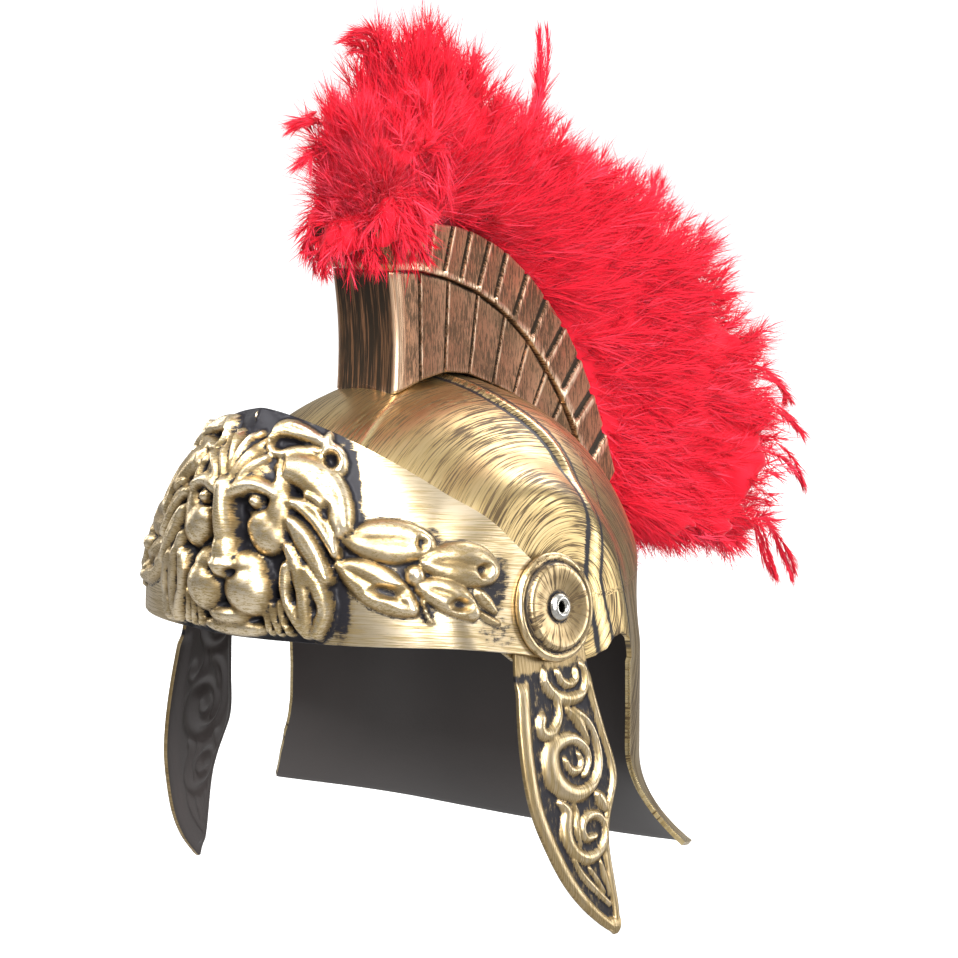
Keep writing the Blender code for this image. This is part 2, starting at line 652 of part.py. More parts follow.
def make_scroll(owner, side, name, back, down, radius, turns, start, hand, half_width, rise):
    """A spiral moulding, worked as a loft of five-sided sections along its line."""
    sections = []
    count = max(SCROLL_STEPS_A_TURN, int(turns * SCROLL_STEPS_A_TURN))
    for i in range(count + 1):
        share = i / count
        angle = math.radians(start) + hand * share * turns * 2.0 * math.pi
        reach = radius * (1.0 - SCROLL_WINDING * share)
        centre = np.array([back + reach * math.cos(angle), down + reach * math.sin(angle)])
        across = np.array([math.cos(angle), math.sin(angle)])
        half = half_width * (1.0 - SCROLL_TAPER * share)
        loop = []
        for across_share, height in SCROLL_SECTION:
            flat = centre + across * half * across_share
            lift = height * rise if height > 0.0 else height
            loop.append(guard_place(flat[0], flat[1], GUARD_FACE + lift, side))
        sections.append(loop)
    cutter = mesh_object(f"{owner}_{name.replace(' ', '_')}", loft_mesh(sections), None, TOOLS[0])
    cutter.hide_render = True
    cutter.display_type = "WIRE"
    return cutter


# --- rosettes and rivets --------------------------------------------------------------

ROSETTE_PROFILE = (
    # radius, height above the rosette's base, round the closed section
    (BORE_RADIUS, 3.9), (7.2, 3.6), (9.6, 3.9), (17.6, 4.9), (18.8, 4.2), (19.6, 2.2),
    (20.6, 2.6), (22.6, 2.4), (ROSETTE_RADIUS, 1.5), (ROSETTE_RADIUS, 0.4), (23.0, 0.0),
    (BORE_RADIUS, 0.0),
)
ROSETTE_STEPS = 20
RIVET_STEPS = 10
RIVET_SEAT = ROSETTE_BASE + 3.9 + GAP


def rivet_profile():
    """Eyelet rivet: dished head, shank through every layer, flat tail inside the dome."""
    return (
        (0.0, RIVET_SEAT - 1.0), (1.9, RIVET_SEAT - 1.0), (2.1, RIVET_SEAT + 1.2),
        (3.4, RIVET_SEAT + 2.0), (5.2, RIVET_SEAT + 1.3), (6.0, RIVET_SEAT),
        (SHANK_RADIUS, RIVET_SEAT), (SHANK_RADIUS, RIVET_TAIL), (5.0, RIVET_TAIL),
        (5.0, RIVET_TAIL - 1.0), (0.0, RIVET_TAIL - 1.0),
    )


def pivot_matrix(side, along):
    axis = Vector((side * PIVOT_AXIS[0], PIVOT_AXIS[1], PIVOT_AXIS[2]))
    centre = Vector((side * PIVOT[0], PIVOT[1], PIVOT[2])) + axis * along
    turn = Vector((0.0, 0.0, 1.0)).rotation_difference(axis).to_matrix().to_4x4()
    return Matrix.Translation(centre * MM) @ turn


def make_pivot_bore(name, side, home):
    mesh = bpy.data.meshes.new(name)
    bm = bmesh.new()
    bmesh.ops.create_cone(bm, cap_ends=True, segments=16, radius1=BORE_RADIUS * MM,
                          radius2=BORE_RADIUS * MM, depth=30.0 * MM)
    bm.to_mesh(mesh)
    bm.free()
    bore = bpy.data.objects.new(name, mesh)
    home.objects.link(bore)
    bore.matrix_world = pivot_matrix(side, DOME_FACE)
    bore.hide_render = True
    bore.display_type = "WIRE"
    return bore


# --- crest ----------------------------------------------------------------------------

CREST_RIBS = (
    # grooves of the holder: y on the line below the rail, y at the dome
    (9.9, 10.6), (31.4, 28.7), (54.0, 47.5), (75.3, 66.2), (93.8, 82.7), (108.6, 98.2),
    (121.5, 112.3), (132.5, 125.0), (141.5, 136.0),
)
CREST_LINE = (
    # y, z of the line between holder and rail
    (-12.0, 140.6), (-6.4, 140.5), (8.9, 139.0), (27.8, 134.8), (50.7, 127.3), (70.5, 117.6),
    (89.0, 104.9), (104.0, 90.8), (117.4, 75.8), (128.4, 60.7), (138.0, 43.6), (144.5, 28.0),
    (149.0, 14.0),
)
CREST_CLEARANCE = (
    # y, height of the holder's lower edge above the dome
    (-12.0, 1.7), (-2.0, 1.7), (6.0, 2.4), (16.0, 3.6), (34.0, 4.2), (48.0, 2.8), (62.0, 0.8),
    (80.0, 0.6), (150.0, 0.6),
)
RAIL_TOP = (
    # y, z of the rail's top edge
    (-24.5, 159.0), (-9.0, 160.5), (8.0, 160.5), (24.2, 158.8), (37.5, 156.6), (51.0, 152.8),
    (64.7, 147.4), (76.6, 141.5), (86.6, 135.1), (96.8, 128.0), (106.0, 119.8), (115.4, 111.0),
    (125.9, 100.7), (134.4, 89.4), (142.0, 78.1), (149.6, 65.4), (156.2, 52.8), (162.9, 38.8),
    (168.6, 23.7),
)
RAIL_LEAN = (
    # y on the crest line, y of the same rib on the top edge
    (-12.0, -24.5), (-4.0, -10.0), (3.0, 5.0), (12.0, 17.5), (25.0, 32.5), (37.5, 45.5),
    (51.0, 60.5), (64.0, 73.5), (79.0, 90.5), (93.0, 106.0), (105.0, 121.0), (118.5, 134.0),
    (129.0, 145.5), (140.5, 156.0), (149.5, 166.5),
)
RAIL_SLOTS = (12.0, 25.0, 37.5, 51.0, 64.0, 79.0, 93.0, 105.0, 118.5, 129.0, 140.5)
SLOT_WIDTH = 2.6
SLOT_DEPTH = 1.6
HOLDER_NOSE = (
    # y on the line below the rail, y at the dome, inset of the sides, bow backward
    (-10.8, -8.0, 3.0, 2.4), (-9.8, -7.2, 0.9, 2.4), (-7.6, -5.2, 0.0, 2.2), (-2.0, 0.0, 0.0, 1.2),
)
HOLDER_END = (147.0, 140.5)
RAIL_NOSE_LINES = (-10.5, -4.0, 6.0)
RAIL_START_Y = -12.0
RAIL_END_Y = 148.5
RAIL_NOSE_INSET = 1.2
GROOVE_STATIONS = (
    # place across the groove, share of its depth
    (-0.5, 0.0), (0.0, 1.0), (0.5, 0.0),
)


def crest_foot(y, x):
    """Lower edge of the crest: it follows the dome at the clearance of that place."""
    if x == 0.0:
        return dome_height(0.0, y) + BAND_RISE + RIB_RISE + CREST_CROWN_CLEARANCE
    return dome_height(x, y) + float(table_value(CREST_CLEARANCE, y))


def crest_section(low, high, half, bow=0.0):
    """Eight-point section between a low and a high (y, z) place of the crest."""
    low_y, low_z, crown_z = low
    high_y, high_z = high
    middle_y = 0.5 * (low_y + high_y) + bow
    middle_z = 0.5 * (low_z + high_z)
    return [(-half, low_y, low_z), (0.0, low_y, crown_z), (half, low_y, low_z),
            (half, middle_y, middle_z), (half, high_y, high_z), (0.0, high_y, high_z),
            (-half, high_y, high_z), (-half, middle_y, middle_z)]


def holder_section(top_y, foot_y, half, bow=0.0):
    edge = crest_foot(foot_y, HOLDER_HALF)
    low = (foot_y, edge, max(edge, crest_foot(foot_y, 0.0)))
    high = (top_y, float(table_value(CREST_LINE, top_y)) - LINE_GAP)
    return crest_section(low, high, half, bow)


def make_crest_holder(finish, home):
    sections = [holder_section(top_y, foot_y, HOLDER_HALF - inset, bow)
                for top_y, foot_y, inset, bow in HOLDER_NOSE]
    for top_y, foot_y in CREST_RIBS:
        for place, depth in GROOVE_STATIONS:
            shift = place * GROOVE_WIDTH
            sections.append(holder_section(top_y + shift, foot_y + shift,
                                           HOLDER_HALF - depth * GROOVE_DEPTH))
    sections.append(holder_section(*HOLDER_END, HOLDER_HALF))
    return mesh_object("crest_holder", loft_mesh(sections), finish, home)


def rail_section(line_y, half, grow=0.0):
    top_y = float(table_value(RAIL_LEAN, line_y))
    top_z = float(table_value(RAIL_TOP, top_y))
    line_z = float(table_value(CREST_LINE, line_y)) + LINE_GAP
    up = unit((top_y - line_y, top_z - line_z)) * grow
    low = (line_y - up[0], line_z - up[1], line_z - up[1])
    return crest_section(low, (top_y + up[0], top_z + up[1]), half + grow)


def rail_sections(grow, grooved):
    sections = [rail_section(RAIL_START_Y - grow, RAIL_HALF - RAIL_NOSE_INSET, grow)]
    sections += [rail_section(line_y, RAIL_HALF, grow) for line_y in RAIL_NOSE_LINES]
    for line_y in RAIL_SLOTS:
        if grooved:
            for place, depth in GROOVE_STATIONS:
                sections.append(rail_section(line_y + place * SLOT_WIDTH,
                                             RAIL_HALF - depth * SLOT_DEPTH, grow))
        else:
            sections.append(rail_section(line_y, RAIL_HALF, grow))
    sections.append(rail_section(RAIL_END_Y + grow, RAIL_HALF, grow))
    return sections


def make_crest_rail(finish, home):
    return mesh_object("crest_rail", loft_mesh(rail_sections(0.0, True)), finish, home)


# --- plume ----------------------------------------------------------------------------

PLUME_LOCKS = (
    # root y, z on the rail, then tip y, z, and sideways reach of the tips
    (-14.0, 158.0, -22.0, 166.0, 20.0), (-12.0, 160.0, -28.0, 190.0, 22.0),
    (-6.0, 162.0, -28.0, 214.0, 24.0), (6.0, 163.0, -16.0, 240.0, 26.0),
    (18.0, 162.0, 4.0, 254.0, 27.0), (30.0, 161.0, 38.0, 252.0, 28.0),
    (42.0, 158.0, 62.0, 238.0, 29.0), (54.0, 153.0, 86.0, 218.0, 30.0),
    (66.0, 147.0, 120.0, 214.0, 31.0), (77.0, 140.0, 148.0, 202.0, 32.0),
    (88.0, 133.0, 178.0, 187.0, 33.0), (99.0, 124.0, 205.0, 174.0, 34.0),
    (109.0, 115.0, 232.0, 158.0, 35.0), (118.0, 106.0, 258.0, 140.0, 36.0),
    (127.0, 97.0, 284.0, 118.0, 36.0), (136.0, 86.0, 306.0, 93.0, 36.0),
    (144.0, 74.0, 326.0, 67.0, 36.0), (151.0, 61.0, 338.0, 39.0, 35.0),
    (157.0, 50.0, 342.0, 12.0, 34.0), (162.0, 40.0, 338.0, -10.0, 32.0),
    (167.0, 30.0, 318.0, -26.0, 30.0), (170.0, 22.0, 284.0, -26.0, 28.0),
    (172.0, 15.0, 246.0, -20.0, 26.0),
)
FRONT_LOCKS = (
    # share of the rail's half width, root y, z and tip y, z, sideways reach, droop, thickness
    (0.85, 2.0, 166.0, -20.0, 147.0, 21.0, 3.0, 9.0),
    (0.9, 18.0, 165.0, 2.0, 152.0, 21.0, 2.0, 8.0),
)
PLUME_PLACES = (-1.0, -0.5, 0.0, 0.5, 1.0)
PLUME_ROOT_HALF = 12.0
PLUME_TIP_HALF = 14.0
PLUME_SPREAD = 0.8
PLUME_THICK = 11.5
PLUME_SIDE_SHORTENING = 0.16
PLUME_WAVE = 0.05
PLUME_DROOP = 3.0
STRIP_SECTION = (
    # x, y and z over the rail, round the backing strip
    (-15.0, 0.0, 0.0), (15.0, 0.0, 0.0), (13.0, 8.0, 12.0), (-13.0, 8.0, 12.0),
)
SEAT_CLEARANCE = 0.5
LOCK_SIDES = 6
LOCK_RINGS = 5


def lock_mesh(bm, root, tip, sideways, droop, thick):
    """One tapering lock of plume from its root on the rail to its tip."""
    root, tip = np.array(root), np.array(tip)
    rings = []
    for i in range(LOCK_RINGS):
        share = i / (LOCK_RINGS - 1)
        centre = root + (tip - root) * share
        centre = centre + np.array([sideways * share ** 0.7, 0.0, -droop * share ** 2])
        radius = thick * (0.75 + 1.1 * share - 1.35 * share ** 2.4)
        forward = unit(tip - root)
        left = unit(np.cross(forward, (1.0, 0.0, 0.0)))
        over = np.cross(forward, left)
        rings.append([centre + radius * (math.cos(a) * left + math.sin(a) * over)
                      for a in np.linspace(0.0, 2.0 * math.pi, LOCK_SIDES, endpoint=False)])
    loops = add_rows(bm, rings)
    for first, second in zip(loops, loops[1:]):
        bridge(bm, first, second, closed=True)
    bm.faces.new(loops[0])
    bm.faces.new(loops[-1])


def make_plume(finish, home):
    """Locks fanned off the rail and fused to a backing strip along its top."""
    bm = bmesh.new()
    for i, (root_y, root_z, tip_y, tip_z, reach) in enumerate(PLUME_LOCKS):
        for across in PLUME_PLACES:
            wave = math.sin(2.4 * i + 3.1 * abs(across))
            stretch = 1.0 - PLUME_SIDE_SHORTENING * across ** 2 + PLUME_WAVE * wave
            root = (across * PLUME_ROOT_HALF, root_y, root_z)
            tip = (across * PLUME_TIP_HALF, root_y + (tip_y - root_y) * stretch,
                   root_z + (tip_z - root_z) * stretch)
            sideways = across * (reach - PLUME_TIP_HALF) * PLUME_SPREAD
            lock_mesh(bm, root, tip, sideways, PLUME_DROOP * (1.0 + wave), PLUME_THICK)
    for share, root_y, root_z, tip_y, tip_z, reach, droop, thick in FRONT_LOCKS:
        for across in (-1.0, 0.0, 1.0):
            lock_mesh(bm, (across * share * RAIL_HALF, root_y, root_z),
                      (across * reach, tip_y, tip_z), across * 2.0, droop, thick)
    strip = loft_mesh([[(x, y + back, z + over) for x, back, over in STRIP_SECTION]
                       for y, z, *rest in PLUME_LOCKS])
    holder = bpy.data.meshes.new("strip")
    strip.to_mesh(holder)
    strip.free()
    bm.from_mesh(holder)
    plume = mesh_object("plume", bm, finish, home)
    fuse = plume.modifiers.new("fuse", "REMESH")
    fuse.mode = "VOXEL"
    fuse.voxel_size = PLUME_VOXEL * MM
    thin = plume.modifiers.new("fewer faces", "DECIMATE")
    thin.ratio = PLUME_FACE_SHARE
    seat_mesh = loft_mesh(rail_sections(SEAT_CLEARANCE, False))
    seat = mesh_object("rail_seat", seat_mesh, finish, TOOLS[0])
    seat.hide_render = True
    seat.display_type = "WIRE"
    cut(plume, seat)
    return plume


# --- assembly -------------------------------------------------------------------------

TOOLS = []


def main():
    empty_scene()
    home = collection("gladiator_helmet")
    cutters = collection("helmet_cutters")
    TOOLS.append(cutters)
    gold = material("antique_gold_plastic", (0.50, 0.38, 0.17), 0.35, 0.85)
    dark_gold = material("antique_gold_crest", (0.42, 0.30, 0.14), 0.4, 0.8)
    silver = material("nickel_eyelet", (0.62, 0.60, 0.55), 0.3, 1.0)
    feather = material("red_feather", (0.85, 0.02, 0.06), 0.9, 0.0)

    frame = bpy.data.objects.new("helmet_frame", None)
    frame.location = Vector((0.0, -SEAT_BACK, -SEAT_UP)) * MM
    home.objects.link(frame)

    shell = make_dome_shell(gold, home)
    brow = make_brow_band(gold, home)
    parts = [shell, brow, make_crest_holder(dark_gold, home), make_crest_rail(dark_gold, home),
             make_plume(feather, home)]
    for side, word in ((1.0, "left"), (-1.0, "right")):
        bore = make_pivot_bore(f"bore_{word}", side, cutters)
        guard = make_cheek_guard(f"cheek_guard_{word}", side, gold, home)
        for item in (shell, brow, guard):
            cut(item, bore)
        rosette = turned_object(f"rosette_{word}", ROSETTE_PROFILE, ROSETTE_STEPS, gold, home, True)
        rosette.matrix_world = pivot_matrix(side, ROSETTE_BASE)
        rivet = turned_object(f"rivet_{word}", rivet_profile(), RIVET_STEPS, silver, home, False)
        rivet.matrix_world = pivot_matrix(side, 0.0)
        parts += [guard, rosette, rivet, bore]
    for item in parts + list(cutters.objects):
        item.parent = frame


main()
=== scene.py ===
"""Looks of the gladiator helmet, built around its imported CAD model.

Lengths in the tables are millimetres from the middle of the line between the two cheek guard
rivets: X to the wearer's left, Y to the back, Z up. place() turns them into the row frame.
"""

import math

import bmesh
import bpy
import numpy as np
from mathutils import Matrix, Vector


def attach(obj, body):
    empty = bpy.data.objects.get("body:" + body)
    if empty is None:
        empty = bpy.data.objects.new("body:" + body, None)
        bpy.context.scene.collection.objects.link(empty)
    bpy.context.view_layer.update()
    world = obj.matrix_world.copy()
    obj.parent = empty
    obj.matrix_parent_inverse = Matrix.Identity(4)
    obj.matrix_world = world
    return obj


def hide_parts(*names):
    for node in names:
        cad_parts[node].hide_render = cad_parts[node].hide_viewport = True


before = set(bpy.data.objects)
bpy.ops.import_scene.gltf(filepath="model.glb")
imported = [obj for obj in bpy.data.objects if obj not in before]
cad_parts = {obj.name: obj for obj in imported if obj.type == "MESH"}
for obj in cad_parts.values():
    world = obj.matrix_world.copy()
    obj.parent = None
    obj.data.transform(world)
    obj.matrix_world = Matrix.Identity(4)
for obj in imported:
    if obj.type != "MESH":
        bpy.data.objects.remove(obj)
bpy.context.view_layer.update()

MM = 0.001
SEAT = np.array([0.0, 32.0, 88.0])
GAP = 0.3


def place(points):
    """Row-frame metres from the tables' millimetres."""
    return (np.asarray(points, dtype=float) - SEAT) * MM


def from_row_frame(items, key):
    """The tables' millimetres of a mesh's points or faces."""
    return np.array([getattr(item, key) for item in items]) / MM + SEAT


def linked(name, data):
    """A new object in the scene for a mesh, lamp or camera."""
    item = bpy.data.objects.new(name, data)
    bpy.context.scene.collection.objects.link(item)
    return item


def toward(azimuth, elevation):
    """Direction from the helmet; azimuth 0 is in front of the face, positive to its left."""
    return np.array([math.sin(azimuth) * math.cos(elevation),
                     -math.cos(azimuth) * math.cos(elevation), math.sin(elevation)])


# --- camera, light and floor ----------------------------------------------------------

AZIMUTH = math.radians(35.0)
ELEVATION = math.radians(8.6)
LENS = 131.5
SENSOR_WIDTH = 36.0
FAR_CLIP = 60.0
DISTANCE = 1550.0
AIM_RIGHT = 45.4
AIM_UP = 46.5


def make_camera():
    back = toward(AZIMUTH, ELEVATION)
    right = np.array([math.cos(AZIMUTH), math.sin(AZIMUTH), 0.0])
    up = np.cross(back, right)
    data = bpy.data.cameras.new("camera")
    data.lens = LENS
    data.sensor_width = SENSOR_WIDTH
    data.clip_end = FAR_CLIP
    camera = linked("camera", data)
    camera.location = place(AIM_RIGHT * right + AIM_UP * up + DISTANCE * back)
    camera.rotation_euler = (math.pi / 2.0 - ELEVATION, 0.0, AZIMUTH)
    bpy.context.scene.camera = camera


def area_light(name, azimuth, elevation, distance, width, height, power):
    """A white softbox aimed at the helmet, at an azimuth and elevation in degrees."""
    data = bpy.data.lights.new(name, "AREA")
    data.shape = "RECTANGLE"
    data.size = width
    data.size_y = height
    data.energy = power
    away = Vector(toward(math.radians(azimuth), math.radians(elevation)))
    light = linked(name, data)
    light.location = away * distance
    light.rotation_euler = away.to_track_quat("Z", "Y").to_euler()


STUDIO_WALLS = (
    # height from straight down at 0 to straight up at 1, then how bright the walls are there
    (0, 1), (0.30, 0.75), (0.46, 0.34), (0.58, 0.34), (0.8, 0.75), (1, 1),
)
STUDIO_STRENGTH = 0.75
STUDIO_LIGHTS = (
    # name, azimuth, elevation, distance, width, height, power
    ("key", 58, 25, 1.5, 0.72, 1.5, 44),
    ("left_softbox", 134, 6, 1.5, 0.40, 1, 6),
    ("front_fill", -14, 50, 1.5, 0.9, 0.7, 20),
    ("right_softbox", -88, 20, 1.6, 0.35, 1.2, 6),
    ("back", 185, 36, 1.8, 1.1, 1, 20),
    ("overhead", 50, 60, 1.5, 0.9, 0.3, 6),
)
FLOOR_Z = -0.262
FLOOR_HALF = 6.0
FLOOR_DEPTH = 3.0
FLOOR_BEND = 1.2
FLOOR_BEND_STEPS = 24
FLOOR_HEIGHT = 4.0
FLOOR_PAINT = {"Base Color": (0.5, 0.5, 0.5, 1.0), "Roughness": 0.9, "Specular IOR Level": 0.0,
               "Emission Color": (1.0, 1.0, 1.0, 1.0), "Emission Strength": 0.85}


def make_walls():
    """Studio walls all round, darker at the height of the helmet."""
    n = Nodes(bpy.data.worlds.new("studio"), "Background")
    around = n.add("ShaderNodeTexCoord", output="Generated")
    up = n.add("ShaderNodeSeparateXYZ", {0: around}, "Z")
    height = n.add("ShaderNodeMapRange", {"Value": up, "From Min": -1.0}, "Result")
    grey = n.add("ShaderNodeValToRGB", {0: height})
    stops = grey.socket.node.color_ramp.elements
    while len(stops) < len(STUDIO_WALLS):
        stops.new(0.5)
    for stop, (at, level) in zip(stops, STUDIO_WALLS):
        stop.position = at
        stop.color = (level, level, level, 1.0)
    n.paint({"Color": grey, "Strength": STUDIO_STRENGTH})
    bpy.context.scene.world = n.owner


def make_floor():
    """A pale floor that bends up into a wall behind the helmet."""
    line = [(-FLOOR_HALF, 0.0), (FLOOR_DEPTH, 0.0)]
    line += [(FLOOR_DEPTH + FLOOR_BEND * math.sin(a), FLOOR_BEND * (1.0 - math.cos(a)))
             for a in np.linspace(0.0, math.pi / 2.0, FLOOR_BEND_STEPS)[1:]]
    line.append((FLOOR_DEPTH + FLOOR_BEND, FLOOR_HEIGHT))
    points = [(x, y, FLOOR_Z + z) for x in (-FLOOR_HALF, 0.0, FLOOR_HALF) for y, z in line]
    mesh = bpy.data.meshes.new("floor")
    mesh.from_pydata(points, [], grid_faces(3, len(line)).tolist())
    mesh.shade_smooth()
    n = Nodes(bpy.data.materials.new("pale_floor"))
    n.paint(FLOOR_PAINT)
    mesh.materials.append(n.owner)
    floor = linked("floor", mesh)
    floor.rotation_euler = (0.0, 0.0, AZIMUTH)
    floor.visible_diffuse = False
    floor.visible_glossy = False


def make_studio():
    bpy.context.scene.view_settings.view_transform = "Standard"
    make_walls()
    for light in STUDIO_LIGHTS:
        area_light(*light)
    make_floor()


# --- small tools ----------------------------------------------------------------------

EDGE_ROUND = 0.35
EDGE_SHARES = (0.35, 0.0, -0.35)


def smoothstep(low, high, value):
    t = np.clip((np.asarray(value, dtype=float) - low) / (high - low), 0.0, 1.0)
    return t * t * (3.0 - 2.0 * t)


def bell(value, middle, half):
    return np.exp(-((value - middle) / half) ** 2)


def table_value(table, where):
    columns = np.array(table)
    return np.interp(where, columns[:, 0], columns[:, 1])


def unit(values):
    values = np.asarray(values, dtype=float)
    return values / np.maximum(np.linalg.norm(values, axis=-1, keepdims=True), 1e-9)


def vectors(*parts):
    """Three grids of numbers as one grid of vectors."""
    return np.stack(np.broadcast_arrays(*parts), axis=-1)


def grid_normals(grid):
    """Outward normals of a grid of points, rows by columns."""
    return unit(np.cross(np.gradient(grid, axis=1), np.gradient(grid, axis=0)))


def blurred(values, pitch, size):
    """Gaussian blur of a grid, its size and the grid's pitch in millimetres."""
    for axis, step in enumerate(pitch):
        sigma = size / step
        reach = max(1, int(round(3.0 * sigma)))
        weights = np.exp(-0.5 * (np.arange(-reach, reach + 1) / sigma) ** 2)
        weights /= weights.sum()
        pad = [(0, 0), (0, 0)]
        pad[axis] = (reach, reach)
        wide = np.pad(values, pad, mode="edge")
        count = values.shape[axis]
        values = sum(w * np.take(wide, np.arange(i, i + count), axis=axis)
                     for i, w in enumerate(weights))
    return values


def smooth_curve(points, count):
    """Points along a Catmull-Rom curve through a table's rows, every column alike."""
    points = np.asarray(points, dtype=float)
    padded = np.vstack([2.0 * points[0] - points[1], points, 2.0 * points[-1] - points[-2]])
    where = np.linspace(0.0, len(points) - 1.0, count)
    index = np.minimum(where.astype(int), len(points) - 2)
    t = (where - index)[:, None]
    a, b, c, d = (padded[index + k] for k in range(4))
    return 0.5 * (2.0 * b + (c - a) * t + (2.0 * a - 5.0 * b + 4.0 * c - d) * t ** 2
                  + (3.0 * b - a - 3.0 * c + d) * t ** 3)


def add_attributes(mesh, attributes):
    """Give a mesh named values, one number or vector a point."""
    for label, values in attributes.items():
        values = np.asarray(values, dtype=np.float32)
        kind, key = ("FLOAT", "value") if values.ndim == 1 else ("FLOAT_VECTOR", "vector")
        mesh.attributes.new(label, kind, "POINT").data.foreach_set(key, values.ravel())


def new_mesh(name, points, faces, materials, attributes, slots=None, smooth_angle=60.0):
    """A mesh object from millimetre points."""
    mesh = bpy.data.meshes.new(name)
    mesh.from_pydata(place(points).tolist(), [], [list(map(int, face)) for face in faces])
    add_attributes(mesh, attributes)
    for material in materials:
        mesh.materials.append(material)
    if slots is not None:
        mesh.polygons.foreach_set("material_index", np.asarray(slots, dtype=np.int32))
    mesh.shade_smooth()
    mesh.set_sharp_from_angle(angle=math.radians(smooth_angle))
    return linked(name, mesh)


def numbered(rows, columns, start=0):
    """A grid's indices, row by row from start."""
    return start + np.arange(rows * columns).reshape(rows, columns)


def grid_faces(rows, columns, start=0, closed=False):
    """Quads over a grid numbered row by row from start."""
    index = numbered(rows, columns, start)
    if closed:
        index = np.hstack([index, index[:, :1]])
    quads = vectors(index[:-1, :-1], index[:-1, 1:], index[1:, 1:], index[1:, :-1])
    return quads.reshape(-1, 4)


def border(grid, inset=0):
    """A grid's values round its edge or, with inset 1, those next to the edge."""
    last = -1 - inset
    return np.concatenate([grid[inset, :-1], grid[:-1, last], grid[last, :0:-1],
                           grid[:0:-1, inset]])


def sheet_of_two(name, outer, inner, materials, attributes):
    """Closed thin sheet: an outer and an inner grid of the same size, joined by a rounded edge."""
    rows, columns = outer.shape[:2]
    count = rows * columns
    points = [outer.reshape(-1, 3), inner.reshape(-1, 3)]
    faces = [grid_faces(rows, columns), grid_faces(rows, columns, count)[:, ::-1]]
    centre = 0.5 * (border(outer) + border(inner))
    thick = border(outer) - border(inner)
    out = unit(np.cross(np.roll(centre, -1, axis=0) - np.roll(centre, 1, axis=0), thick))
    inward = border(outer, 1) - border(outer)
    out *= np.where((out * inward).sum(axis=1) > 0.0, -1.0, 1.0)[:, None]
    first = border(numbered(rows, columns))
    loops = [first]
    for number, share in enumerate(EDGE_SHARES):
        bulge = EDGE_ROUND * math.cos(share * math.pi)
        points.append(centre + thick * share + out * bulge)
        loops.append(2 * count + number * len(first) + np.arange(len(first)))
    loops.append(first + count)
    for a, b in zip(loops, loops[1:]):
        faces.append(vectors(np.roll(a, -1), a, b, np.roll(b, -1)))
    slots = np.zeros(sum(map(len, faces)), dtype=int)
    slots[len(faces[0]):2 * len(faces[0])] = 1
    full = {}
    for label, values in attributes.items():
        flat = values.reshape(count, -1)
        full[label] = np.vstack([flat, flat] + [flat[first]] * len(EDGE_SHARES)).squeeze()
    return new_mesh(name, np.vstack(points), np.vstack(faces), materials, full, slots)


def weld(mesh, distance):
    """Merge a mesh's doubled points, at a distance in metres, and turn its faces outward."""
    bm = bmesh.new()
    bm.from_mesh(mesh)
    bmesh.ops.remove_doubles(bm, verts=bm.verts, dist=distance)
    bmesh.ops.recalc_face_normals(bm, faces=bm.faces)
    if max(bm.faces, key=lambda face: face.calc_center_median().z).normal.z < 0.0:
        bmesh.ops.reverse_faces(bm, faces=bm.faces)
    bm.to_mesh(mesh)
    bm.free()


def modify(item, *changes):
    """Add modifiers, each a kind and its values."""
    for kind, values in changes:
        modifier = item.modifiers.new(kind.lower(), kind)
        for key, value in values.items():
            setattr(modifier, key, value)


def reshape(item, *changes):
    """Add modifiers and apply them to an object's mesh."""
    modify(item, *changes)
    graph = bpy.context.evaluated_depsgraph_get()
    mesh = bpy.data.meshes.new_from_object(item.evaluated_get(graph))
    item.modifiers.clear()
    item.data = mesh


# --- materials ------------------------------------------------------------------------

class Value:
    """An output of a node, for arithmetic with other outputs and numbers."""

    def __init__(self, nodes, socket):
        self.nodes = nodes
        self.socket = socket

    def __add__(self, other):
        return self.nodes.math("ADD", self, other)

    def __sub__(self, other):
        return self.nodes.math("SUBTRACT", self, other)

    def __rsub__(self, other):
        return self.nodes.math("SUBTRACT", other, self)

    def __mul__(self, other):
        return self.nodes.math("MULTIPLY", self, other)

    __radd__ = __add__
    __rmul__ = __mul__


